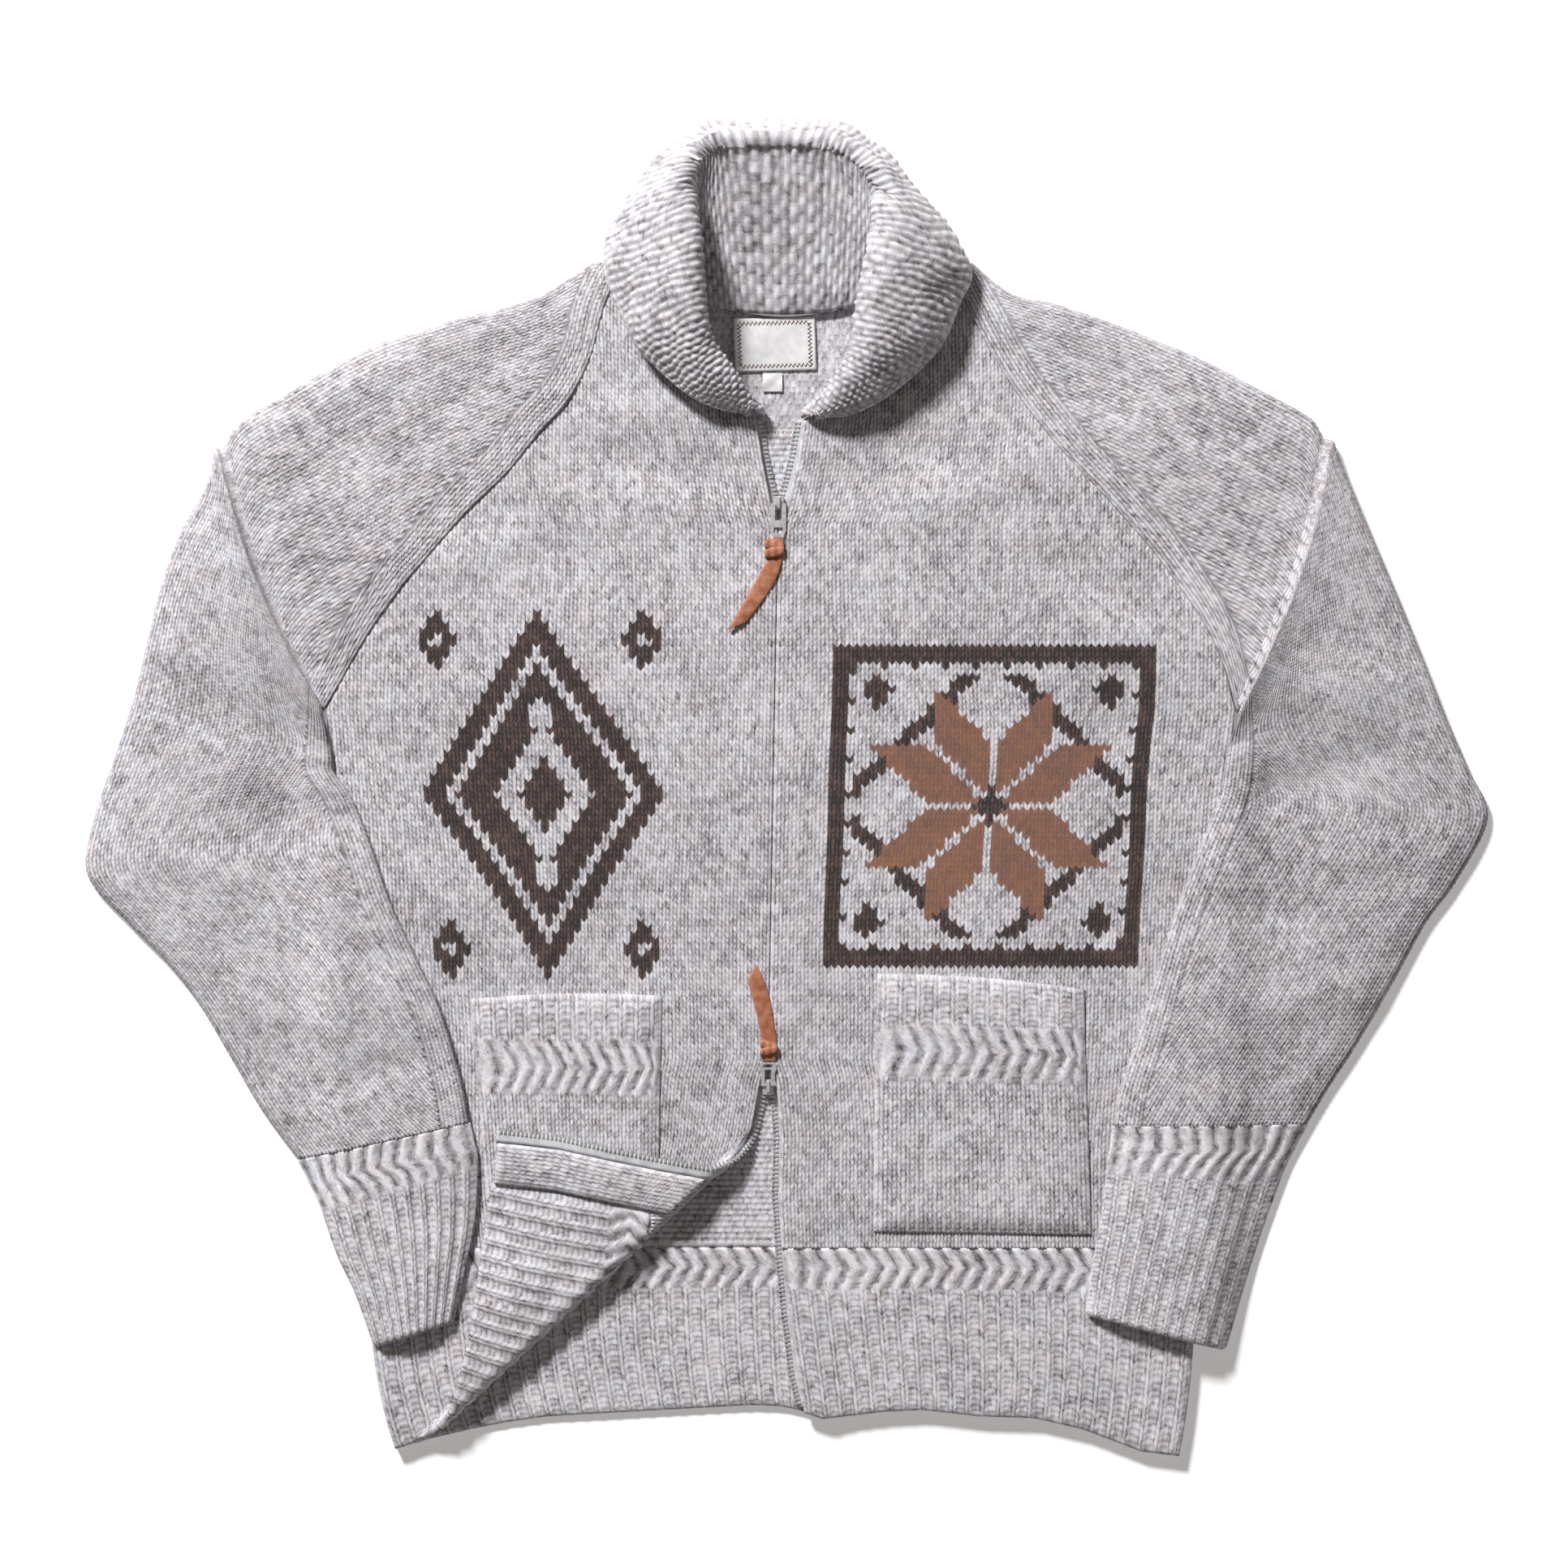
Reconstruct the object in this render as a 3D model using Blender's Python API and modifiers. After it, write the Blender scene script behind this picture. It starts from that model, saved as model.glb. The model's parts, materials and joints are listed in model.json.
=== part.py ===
"""Shawl-collar zip cardigan in chunky knit, laid flat on its back.

The layout drawing looks straight down on the garment. Its units are UNIT metres,
u runs to the viewer's right and v runs down, towards the hem. Left and right in
names are the wearer's, so the wearer's right is on the viewer's left.
"""

import math

import bmesh
import bpy
from mathutils import Matrix, Vector

# Layout drawing
UNIT = 0.00048
CENTRE_U = 970.6
CENTRE_V = 971.6

# Cloth walls, in metres
KNIT = 0.0042
POCKET_KNIT = 0.0036
COLLAR_KNIT = 0.0050
FACING_KNIT = 0.0024
TAPE = 0.0010
GAP = 0.0003
RIB_RELIEF = 0.0009
CUFF_RELIEF = 0.0008
GARTER_RELIEF = 0.0009

# Heights of the layers above the surface that the garment lies on
FRONT_BASE = KNIT + GAP
ON_FRONT = FRONT_BASE + KNIT + GAP
ZIP_RAISE = TAPE + GAP

# Folded corner of the right front
FOLD_RADIUS = 0.0067
FOLD_TOP = Vector((904.0, 1430.0))
FOLD_FOOT = Vector((533.0, 1770.0))
FOLD_CUTS = 4

# Ribs and zigzag bands
HEM_SEAM_V = 1538.0
SEAM_STEP = 0.8
FLAP_SEAM_STEP = 1.5
ROLL_SEAM_STEP = 5.0
HEM_RIBS_RIGHT = 22
HEM_RIBS_LEFT = 24
HEM_RIBS_BACK = 20
CUFF_RIBS = 10
POCKET_RIBS = 12
ZIGZAG_SHIFT = 9.0
COLLAR_RIDGES = 31

# Sleeves
SLEEVE_HOLLOW = 0.0010
SLEEVE_CROWN = 0.0026
SLEEVE_LIFT = ON_FRONT
PLEAT_RISE = 0.0099

# Zip hardware
SLIDER_THICK = 0.0040
BAR_HALF = 0.0006
BAR_CLEAR = 0.00035
PULL_THICK = 0.0012
STRAP_THICK = 0.0018
KNOT_THICK = 0.0036
BAIL_HALF_WIDTH = 0.0009
BAIL_WALL = 0.0010

FINISHES = {
    "grey_knit": ((0.50, 0.48, 0.49), 0.95, 0.0),
    "tape_cloth": ((0.80, 0.80, 0.80), 0.85, 0.0),
    "metal": ((0.62, 0.62, 0.63), 0.32, 1.0),
    "leather": ((0.45, 0.22, 0.12), 0.60, 0.0),
    "label_cloth": ((0.78, 0.78, 0.79), 0.70, 0.0),
}


def clear_scene():
    for item in list(bpy.data.objects):
        bpy.data.objects.remove(item, do_unlink=True)


def new_collection(name):
    collection = bpy.data.collections.new(name)
    bpy.context.scene.collection.children.link(collection)
    return collection


def finish_for(node, finish):
    colour, roughness, metallic = FINISHES[finish]
    material = bpy.data.materials.new(node + "_" + finish)
    material.use_nodes = True
    shader = material.node_tree.nodes["Principled BSDF"]
    shader.inputs["Base Color"].default_value = (*colour, 1.0)
    shader.inputs["Roughness"].default_value = roughness
    shader.inputs["Metallic"].default_value = metallic
    return material


def place(u, v, z):
    """World position of a drawing point at height z."""
    return Vector(((u - CENTRE_U) * UNIT, (CENTRE_V - v) * UNIT, z))


def ease(low, high, value):
    """Smooth step from 0 at low to 1 at high; low may be the larger one."""
    t = min(1.0, max(0.0, (value - low) / (high - low)))
    return t * t * (3.0 - 2.0 * t)


def mix(a, b, t):
    return a + (b - a) * t


def read_line(table, key, key_column=1, value_column=0):
    """Value at key on a line of points sorted by their key column."""
    before = table[0]
    for after in table[1:]:
        if key <= after[key_column]:
            span = after[key_column] - before[key_column]
            t = max(0.0, (key - before[key_column]) / span)
            return mix(before[value_column], after[value_column], t)
        before = after
    return table[-1][value_column]


def catmull(p0, p1, p2, p3, t):
    """Point on a smooth curve between p1 and p2."""
    return 0.5 * (2.0 * p1 + (p2 - p0) * t + (2.0 * p0 - 5.0 * p1 + 4.0 * p2 - p3) * t * t
                  + (3.0 * p1 - p0 - 3.0 * p2 + p3) * t * t * t)


def smooth_points(points, count):
    """Even steps of parameter along a smooth curve through the points."""
    last = len(points) - 1
    result = []
    for step in range(count):
        position = step * last / (count - 1)
        i = min(int(position), last - 1)
        p0 = points[max(i - 1, 0)]
        p3 = points[min(i + 2, last)]
        result.append(catmull(p0, points[i], points[i + 1], p3, position - i))
    return result


def even_points(points, count):
    """Points at even lengths along a smooth curve through the points."""
    dense = smooth_points(points, 8 * len(points))
    lengths = [0.0]
    for a, b in zip(dense, dense[1:]):
        lengths.append(lengths[-1] + (b - a).length)
    result = []
    i = 0
    for step in range(count):
        goal = lengths[-1] * step / (count - 1)
        while i < len(dense) - 2 and lengths[i + 1] < goal:
            i += 1
        span = max(lengths[i + 1] - lengths[i], 1e-9)
        result.append(dense[i].lerp(dense[i + 1], min(1.0, (goal - lengths[i]) / span)))
    return result


# Folded corner: the pattern is flat, and beyond the fold's axis it rolls over

FOLD_ALONG = (FOLD_FOOT - FOLD_TOP).normalized()
FOLD_ACROSS = Vector((-FOLD_ALONG.y, FOLD_ALONG.x)) * -1.0
FOLD_AXIS = FOLD_TOP.dot(FOLD_ACROSS) - FOLD_RADIUS / UNIT
FOLD_ARC = math.pi * FOLD_RADIUS / UNIT


def past_fold(u, v):
    """How far a pattern point lies past the start of the roll, in drawing units."""
    return Vector((u, v)).dot(FOLD_ACROSS) - FOLD_AXIS


def folded(u, v, height):
    """World position of a right-front pattern point, height measured to its outer face."""
    past = past_fold(u, v)
    if past <= 0.0:
        return place(u, v, FRONT_BASE + height)
    radius = FOLD_RADIUS - height
    if past < FOLD_ARC:
        facet = past / FOLD_ARC * FOLD_CUTS
        low_angle = math.pi * int(facet) / FOLD_CUTS
        high_angle = low_angle + math.pi / FOLD_CUTS
        part_way = facet - int(facet)
        across = FOLD_AXIS + radius * mix(math.sin(low_angle), math.sin(high_angle), part_way) / UNIT
        z = FRONT_BASE + FOLD_RADIUS - radius * mix(math.cos(low_angle), math.cos(high_angle), part_way)
    else:
        across = FOLD_AXIS - (past - FOLD_ARC)
        z = FRONT_BASE + FOLD_RADIUS + radius
    spot = FOLD_ACROSS * across + FOLD_ALONG * Vector((u, v)).dot(FOLD_ALONG)
    return place(spot.x, spot.y, z)


def flat_front(u, v, height):
    return place(u, v, FRONT_BASE + height)


def flat_back(u, v, height):
    return place(u, v, height)


# Sheets: a grid of pattern points, set in place and given its thickness

def pattern_grid(rows):
    """Mesh of pattern rows; each point is (u, v, relief)."""
    mesh = bmesh.new()
    relief = mesh.verts.layers.float.new("relief")
    grid = []
    for row in rows:
        line = []
        for u, v, raised in row:
            vert = mesh.verts.new((u, v, 0.0))
            vert[relief] = raised
            line.append(vert)
        grid.append(line)
    for upper, lower in zip(grid, grid[1:]):
        for i in range(len(upper) - 1):
            mesh.faces.new((lower[i], lower[i + 1], upper[i + 1], upper[i]))
    return mesh


def cut_along_fold(mesh):
    """Split the pattern along lines parallel to the fold, so that it can roll."""
    for cut in range(FOLD_CUTS + 1):
        across = FOLD_AXIS + FOLD_ARC * cut / FOLD_CUTS
        point = FOLD_ACROSS * across
        geometry = mesh.verts[:] + mesh.edges[:] + mesh.faces[:]
        bmesh.ops.bisect_plane(mesh, geom=geometry, dist=0.05, plane_co=(point.x, point.y, 0.0),
                               plane_no=(FOLD_ACROSS.x, FOLD_ACROSS.y, 0.0))


def sheet_object(node, mesh, finish, thickness, relief_height, group):
    """Closed wall: the mesh is its plain face, and the relief stands on the other face."""
    relief = mesh.verts.layers.float["relief"]
    weights = [vert[relief] for vert in mesh.verts]
    data = bpy.data.meshes.new(node)
    mesh.to_mesh(data)
    mesh.free()
    item = bpy.data.objects.new(node, data)
    group.objects.link(item)
    data.materials.append(finish_for(node, finish))
    wall = item.modifiers.new("wall", "SOLIDIFY")
    wall.offset = 1.0
    wall.thickness = thickness
    if relief_height > 0.0 and max(weights) > 0.0:
        raised = item.vertex_groups.new(name="relief")
        for index, weight in enumerate(weights):
            raised.add([index], weight, "REPLACE")
        wall.thickness = thickness + relief_height
        wall.vertex_group = raised.name
        wall.thickness_vertex_group = thickness / (thickness + relief_height)
    return item


def laid_sheet(node, rows, setting, height_of, group, thickness=KNIT, relief_height=0.0,
               finish="grey_knit", fold=False):
    """Sheet whose pattern rows are set in place by the setting function."""
    mesh = pattern_grid(rows)
    if fold:
        cut_along_fold(mesh)
    relief = mesh.verts.layers.float["relief"]
    for vert in mesh.verts:
        u, v = vert.co.x, vert.co.y
        height = height_of(u, v, vert[relief])
        if fold:
            vert[relief] *= ease(0.0, -12.0, past_fold(u, v))
        vert.co = setting(u, v, height)
    mesh.normal_update()
    return sheet_object(node, mesh, finish, thickness, relief_height, group)


# Panels: each row runs from the neck or zip edge to the raglan or side edge

# Columns: v and u at the zip edge, then u and v at the outer edge
RIGHT_ROWS = (
    (330, 802, 766, 328), (372, 812, 744, 378), (414, 832, 727, 440), (450, 858, 700, 492),
    (484, 890, 664, 533), (515, 931, 624, 583), (570, 940, 575, 630), (627, 951, 520, 693),
    (648, 958.2, 498, 718), (720, 956.9, 455, 778), (800, 955.4, 420, 838), (880, 953.9, 402, 873),
    (985, 952.0, 411, 985), (1100, 949.9, 418, 1100), (1200, 948.1, 425, 1200),
    (1305, 946.1, 432, 1300), (1330, 937, 434, 1330), (1400, 924, 440, 1400),
    (1470, 899, 446, 1470), (1537, 905, 450.5, 1537),
)
LEFT_ROWS = (
    (332, 1130, 1166, 328), (374, 1118, 1190, 374), (414, 1100, 1216, 424), (450, 1074, 1246, 474),
    (484, 1038, 1280, 520), (517, 990, 1320, 568), (570, 982, 1362, 612), (627, 968, 1412, 668),
    (648, 959.0, 1440, 704), (720, 957.7, 1482, 764), (800, 956.2, 1508, 818),
    (880, 954.7, 1522, 876), (985, 952.8, 1508, 985), (1100, 950.7, 1498, 1100),
    (1200, 948.9, 1493, 1200), (1305, 946.9, 1488, 1300), (1330, 956, 1486, 1330),
    (1400, 962, 1483, 1400), (1470, 960, 1480, 1470), (1537, 963, 1476, 1537),
)
# v of each of these rows at the middle of the back
BACK_MIDDLE = (
    388, 425, 462, 500, 540, 585, 630, 680, 712, 770, 828, 878, 985, 1100, 1200, 1300, 1330, 1400,
    1470, 1537,
)
RIGHT_ZIP_EDGE = tuple((row[1], row[0]) for row in RIGHT_ROWS) + ((911, 1590), (920, 1660), (922, 1738))
LEFT_ZIP_EDGE = tuple((row[1], row[0]) for row in LEFT_ROWS) + ((971, 1617), (981, 1696), (991, 1738))
RIGHT_SIDE = tuple((row[2], row[3]) for row in RIGHT_ROWS[11:]) + ((460, 1649), (487, 1786))
LEFT_SIDE = tuple((row[2], row[3]) for row in LEFT_ROWS[11:]) + ((1469, 1675), (1453, 1795))
RIGHT_RAGLAN = tuple((row[2], row[3]) for row in RIGHT_ROWS[:12])
LEFT_RAGLAN = tuple((row[2], row[3]) for row in LEFT_ROWS[:12])
ZIP_TOP_V = 515.0
RAISE_NEAR = 24.0
RAISE_FAR = 58.0
RAISE_FADES = 1400.0
RAISE_ENDS = 1470.0

# Bottom of the hem, from the wearer's right to the left
HEM_LINE = (
    (487, 1786), (531, 1774), (578, 1763), (624, 1754), (674, 1747), (781, 1741), (853, 1737),
    (924, 1733), (960, 1734), (985, 1739), (1014, 1749), (1093, 1740), (1137, 1738), (1208, 1746),
    (1275, 1748), (1335, 1762), (1406, 1789), (1453, 1795),
)
# How far the zip's facing reaches in from the edge of the right front
FACING_REACH = 60.0
# Rows of a hem as shares of its depth: seam, middle and foot of the zigzag, ribs, edge
HEM_ROWS = (0.0, 0.12, 0.24, 0.6, 1.0)


def panel_rows(table):
    """Three columns near the zip edge, then even ones to the outer edge."""
    rows = []
    for v_zip, u_zip, u_side, v_side in table:
        width = abs(u_side - u_zip)
        shares = [0.0, min(RAISE_NEAR / width, 0.15), min(RAISE_FAR / width, 0.35)]
        shares += [mix(shares[2], 1.0, k / 5.0) for k in range(1, 6)]
        rows.append([(mix(u_zip, u_side, s), mix(v_zip, v_side, s), 0.0) for s in shares])
    return rows


def zip_raise(u, v, edge):
    """Height that a front gains over its zip tape."""
    if v < ZIP_TOP_V - 1.0:
        return 0.0
    return ZIP_RAISE * ease(RAISE_FAR, RAISE_NEAR, abs(u - read_line(edge, v)))


def flap_fade(v):
    """The raise runs out evenly where the corner starts to fold."""
    return min(1.0, max(0.0, (RAISE_ENDS - v) / (RAISE_ENDS - RAISE_FADES)))


def right_raise(u, v):
    return zip_raise(u, v, RIGHT_ZIP_EDGE) * flap_fade(v)


def left_raise(u, v):
    return zip_raise(u, v, LEFT_ZIP_EDGE)


def hem_rows(u_ends, ribs, relief_of, on_flap):
    """Ribbed hem under its seam; the ribs step sideways in the zigzag band."""
    rows = []
    for share in HEM_ROWS:
        first, last = u_ends(share)
        shift = ZIGZAG_SHIFT if share == HEM_ROWS[1] else 0.0
        line = []
        for k in range(2 * ribs + 1):
            side = k / (2.0 * ribs)
            u = mix(first, last, side) + shift * min(1.0, 8.0 * side, 8.0 * (1.0 - side))
            bottom = read_line(HEM_LINE, u, 0, 1)
            seam = HEM_SEAM_V + SEAM_STEP
            if on_flap:
                past = past_fold(u, seam)
                on_roll = ease(-10.0, 8.0, past) * ease(FOLD_ARC + 12.0, FOLD_ARC, past)
                seam += max(FLAP_SEAM_STEP * ease(-6.0, 6.0, past), ROLL_SEAM_STEP * on_roll)
            v = mix(seam, bottom, share)
            line.append((u, v, relief_of(u, v) * (k % 2)))
        rows.append(line)
    return rows


def right_hem_ends(share):
    return 450.5 + 10.0 * share + 26.0 * share ** 3, 905.0 + 17.0 * share


def left_hem_ends(share):
    return 963.0 + 28.0 * share ** 1.2, 1476.0 - 8.0 * share - 15.0 * share ** 3


def clear_of_right_cuff(u, v):
    return 0.0 if v < 1700.0 and u < 606.0 else 1.0


def clear_of_left_cuff(u, v):
    return 0.0 if v < 1720.0 and u > 1322.0 else 1.0


def flap_covers_to(u):
    """v down to which the folded corner covers the back at this u."""
    share = (FOLD_TOP.x - u) / (FOLD_TOP.x - FOLD_FOOT.x)
    return mix(FOLD_TOP.y, FOLD_FOOT.y, share)


def bare_back_column(points):
    """Ribs of the back's hem show from just under the folded corner down to the edge."""
    shown = []
    for u, v, raised in points:
        in_sight = v > flap_covers_to(u) + 14.0 and u < read_line(LEFT_ZIP_EDGE, v) - 20.0
        shown.append(in_sight and v > HEM_SEAM_V + 8.0)
    column = [(u, v, raised if seen else 0.0) for (u, v, raised), seen in zip(points, shown)]
    if True in shown and shown.index(True) > 1:
        i = shown.index(True) - 1
        u, v, raised = column[i]
        column[i] = (u, max(v, flap_covers_to(u) + 6.0), 0.0)
    return column


def reversed_rows(rows):
    return [list(reversed(row)) for row in rows]


def build_fronts(group):
    def flap_height(u, v, raised):
        over = ease(0.0, FOLD_RADIUS / UNIT, past_fold(u, v))
        beside_facing = ease(FACING_REACH, FACING_REACH + 8.0, read_line(RIGHT_ZIP_EDGE, v) - u)
        return right_raise(u, v) - RIB_RELIEF * raised * over * beside_facing

    right = reversed_rows(panel_rows(RIGHT_ROWS))
    laid_sheet("front_right", right, folded, flap_height, group, fold=True)
    right_hem = hem_rows(right_hem_ends, HEM_RIBS_RIGHT, clear_of_right_cuff, True)
    laid_sheet("hem_right", right_hem, folded, flap_height, group, relief_height=RIB_RELIEF, fold=True)

    def left_height(u, v, raised):
        return left_raise(u, v)

    laid_sheet("front_left", panel_rows(LEFT_ROWS), flat_front, left_height, group)
    left_hem = hem_rows(left_hem_ends, HEM_RIBS_LEFT, clear_of_left_cuff, False)
    laid_sheet("hem_left", left_hem, flat_front, left_height, group, relief_height=RIB_RELIEF)


def build_back(group):
    """Back panel from the neck to the hem seam, and its hem."""
    neck_dip = (0.0, 0.30, 0.62, 0.86, 1.0, 1.0, 0.86, 0.62, 0.30, 0.0)
    rows = []
    for right, left, v_middle in zip(RIGHT_ROWS, LEFT_ROWS, BACK_MIDDLE):
        line = []
        for k, dip in enumerate(neck_dip):
            share = k / (len(neck_dip) - 1)
            side_v = mix(right[3], left[3], share)
            line.append((mix(right[2], left[2], share), mix(side_v, v_middle, dip), 0.0))
        rows.append(line)

    def no_height(u, v, raised):
        return 0.0

    laid_sheet("back", rows, flat_back, no_height, group)

    def back_hem_ends(share):
        return right_hem_ends(share)[0], left_hem_ends(share)[1]

    dense_from, dense_to = 560.0, 985.0
    sparse = 3
    ribbed = range(sparse + 1, sparse + 2 * HEM_RIBS_BACK)
    hem = []
    for share in HEM_ROWS:
        first, last = back_hem_ends(share)
        across = [mix(first, dense_from, k / sparse) for k in range(sparse)]
        across += [mix(dense_from, dense_to, k / (2.0 * HEM_RIBS_BACK))
                   for k in range(2 * HEM_RIBS_BACK + 1)]
        across += [mix(dense_to, last, k / 4.0) for k in range(1, 5)]
        line = []
        for k, u in enumerate(across):
            if share == HEM_ROWS[1] and k in ribbed[2:-2]:
                u += ZIGZAG_SHIFT
            v = mix(HEM_SEAM_V + SEAM_STEP, read_line(HEM_LINE, u, 0, 1), share)
            line.append((u, v, float(k % 2) if k in ribbed else 0.0))
        hem.append(line)
    columns = [bare_back_column(points) for points in zip(*hem)]
    hem = [list(row) for row in zip(*columns)]
    laid_sheet("hem_back", hem, flat_back, no_height, group, relief_height=RIB_RELIEF)


# Sleeves: rings of rows across a flattened tube, open along the raglan seam

# Shoulder outline, a point for each row of the front's raglan edge, from the neck to the pleat
RIGHT_SHOULDER = ((733, 321), (676, 358), (625, 378), (575, 389), (525, 404), (478, 419), (430, 440),
                  (378, 470), (345, 490), (312, 508), (289, 526), (277, 548))
LEFT_SHOULDER = ((1198, 323), (1244, 360), (1290, 371), (1340, 387), (1390, 405), (1440, 425), (1490, 447),
                 (1536, 471), (1566, 487), (1598, 504), (1620, 519), (1630, 538))
PLEAT_BOW = 13.0
# Columns: how far the row lies past the pleat, in drawing units, and its height
PLEAT_STEPS = ((6.5, 0.00115), (10.1, 0.00405), (11.9, 0.00890), (14.3, PLEAT_RISE))
# Columns: inner u and v, outer u and v, height of the folded-in cloth under the row
RIGHT_TUBE = (
    (388, 886, 253, 600, 0.0095), (391, 896, 223, 655, 0.0085), (395, 908, 200, 715, 0.0070),
    (399, 922, 182, 785, 0.0055), (402, 936, 165, 858, 0.0040), (404, 952, 140, 935, 0.0025),
    (434, 985, 114, 1012, 0.0010), (458, 1045, 107, 1078, 0.0), (481, 1112, 158, 1138, 0.0),
    (511, 1178, 205, 1186, 0.0), (539, 1237, 244, 1236, 0.0), (557, 1292, 282, 1300, 0.0),
    (570, 1340, 321, 1366, 0.0), (577, 1381, 366, 1427, 0.0),
)
LEFT_TUBE = (
    (1530, 890, 1658, 583, 0.0095), (1528, 898, 1688, 655, 0.0085), (1524, 908, 1722, 735, 0.0070),
    (1521, 920, 1756, 818, 0.0055), (1519, 934, 1782, 884, 0.0040), (1516, 950, 1810, 948, 0.0025),
    (1502, 985, 1834, 1008, 0.0010), (1472, 1060, 1795, 1086, 0.0), (1443, 1140, 1758, 1137, 0.0),
    (1420, 1215, 1720, 1206, 0.0), (1401, 1280, 1674, 1285, 0.0), (1381, 1339, 1637, 1342, 0.0),
    (1373, 1385, 1612, 1384, 0.0),
)
# Columns: inner u and v, outer u and v, ribs stepping sideways or not
RIGHT_CUFF = (
    (577.8, 1383.2, 366.8, 1429.8, 0), (583, 1407, 381, 1457, 1), (587, 1431, 394, 1484, 0),
    (584, 1500, 416, 1545, 0), (571, 1567, 440, 1594, 0), (557, 1630, 463, 1659, 0),
)
LEFT_CUFF = (
    (1372.6, 1387.0, 1611.6, 1386.0, 0), (1369, 1412, 1594, 1418, 1), (1365, 1438, 1580, 1448, 0),
    (1358, 1499, 1556, 1514, 0), (1347, 1560, 1533, 1585, 0), (1339, 1620, 1509, 1664, 0),
)
EDGE_INSET = (KNIT + SLEEVE_HOLLOW / 2.0) / UNIT
CROWNED_WIDTH = 250.0
LEVEL_STEP = 0.003
ARMPIT_EASE = 2.5
SIDE_NEAR = 6.0
SIDE_FAR = 75.0


class SleeveForm:
    """Heights of one sleeve where it lies on the floor or on the body's side."""

    def __init__(self, side, outward, full_lift_v):
        self.side = side
        self.outward = outward
        self.full_lift_v = full_lift_v

    def from_side(self, u, v):
        return self.outward * (u - read_line(self.side, v))

    def lift(self, u, v, v_inner):
        start = self.side[0][1]
        climb = ease(start + 8.0, self.full_lift_v, v_inner)
        return SLEEVE_LIFT * climb * ease(SIDE_FAR, SIDE_NEAR, self.from_side(u, v))

    def shares(self, inner, outer):
        """Column places across a row, one of them at the body's side."""
        crossing = 0.08
        for step in range(1, 40):
            spot = inner.lerp(outer, step / 40.0)
            if self.from_side(spot.x, spot.y) < SIDE_NEAR:
                crossing = step / 40.0
        crossing = min(crossing, 0.7)
        places = [0.0, crossing / 2.0]
        return places + [mix(crossing, 1.0, k / 6.0) for k in range(7)]


def tube_row(form, inner, outer, bow, bump, shares, lower_shares, closed, inset_inner):
    """One ring: the upper layer outwards, the outer fold, the lower layer back, the inner fold."""
    across = (outer - inner).normalized()
    sideways = Vector((-across.y, across.x)) * form.outward
    first = inner + across * (EDGE_INSET if inset_inner else 0.0)
    last = outer - across * EDGE_INSET

    def spot(share):
        return first.lerp(last, share) + sideways * bow * math.sin(math.pi * share)

    crown = SLEEVE_CROWN * min(1.0, (outer - inner).length / CROWNED_WIDTH) ** 2

    def levels(share):
        at = spot(share)
        lift = form.lift(at.x, at.y, inner.y) if closed else 0.0
        rise = bump * (1.0 - 0.6 * ease(0.6, 1.0, share))
        hollow = SLEEVE_HOLLOW + crown * math.sin(math.pi * share) ** 2
        return at, KNIT + lift, KNIT + max(lift, rise) + hollow

    ring = []
    for share in shares:
        at, low, high = levels(share)
        ring.append(place(at.x, at.y, high))
    at, low, high = levels(1.0)
    tip = at + across * 1.0
    ring.append(place(tip.x, tip.y, (low + high) / 2.0))
    for share in reversed(lower_shares):
        at, low, high = levels(share)
        ring.append(place(at.x, at.y, low))
    if closed:
        at, low, high = levels(0.0)
        tip = at - across * 1.0
        ring.append(place(tip.x, tip.y, (low + high) / 2.0))
    return ring


def rings_to_mesh(rings, reliefs, flip):
    """Skin over the rings; the longer rings are closed at the inner fold."""
    mesh = bmesh.new()
    relief = mesh.verts.layers.float.new("relief")
    closed_count = max(len(ring) for ring in rings)
    grid = []
    for ring, raised in zip(rings, reliefs):
        line = []
        for k, point in enumerate(ring):
            vert = mesh.verts.new(point)
            vert[relief] = raised[k] if k < len(raised) else 0.0
            line.append(vert)
        grid.append(line)
    for upper, lower in zip(grid, grid[1:]):
        closed = len(upper) == closed_count and len(lower) == closed_count
        for i in range(closed_count if closed else closed_count - 2):
            j = (i + 1) % closed_count
            corners = (lower[i], lower[j], upper[j], upper[i])
            mesh.faces.new(reversed(corners) if flip else corners)
    mesh.normal_update()
    return mesh


def beside_line(points, distance):
    """The line moved sideways by an even distance, in drawing units."""
    moved = []
    for i, point in enumerate(points):
        before = (point - points[i - 1]).normalized() if i > 0 else None
        after = (points[i + 1] - point).normalized() if i < len(points) - 1 else None
        before = before or after
        after = after or before
        corner = (before + after).normalized()
        reach = distance / max(0.5, corner.dot(after))
        moved.append(point + Vector((-corner.y, corner.x)) * reach)
    return moved


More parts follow.
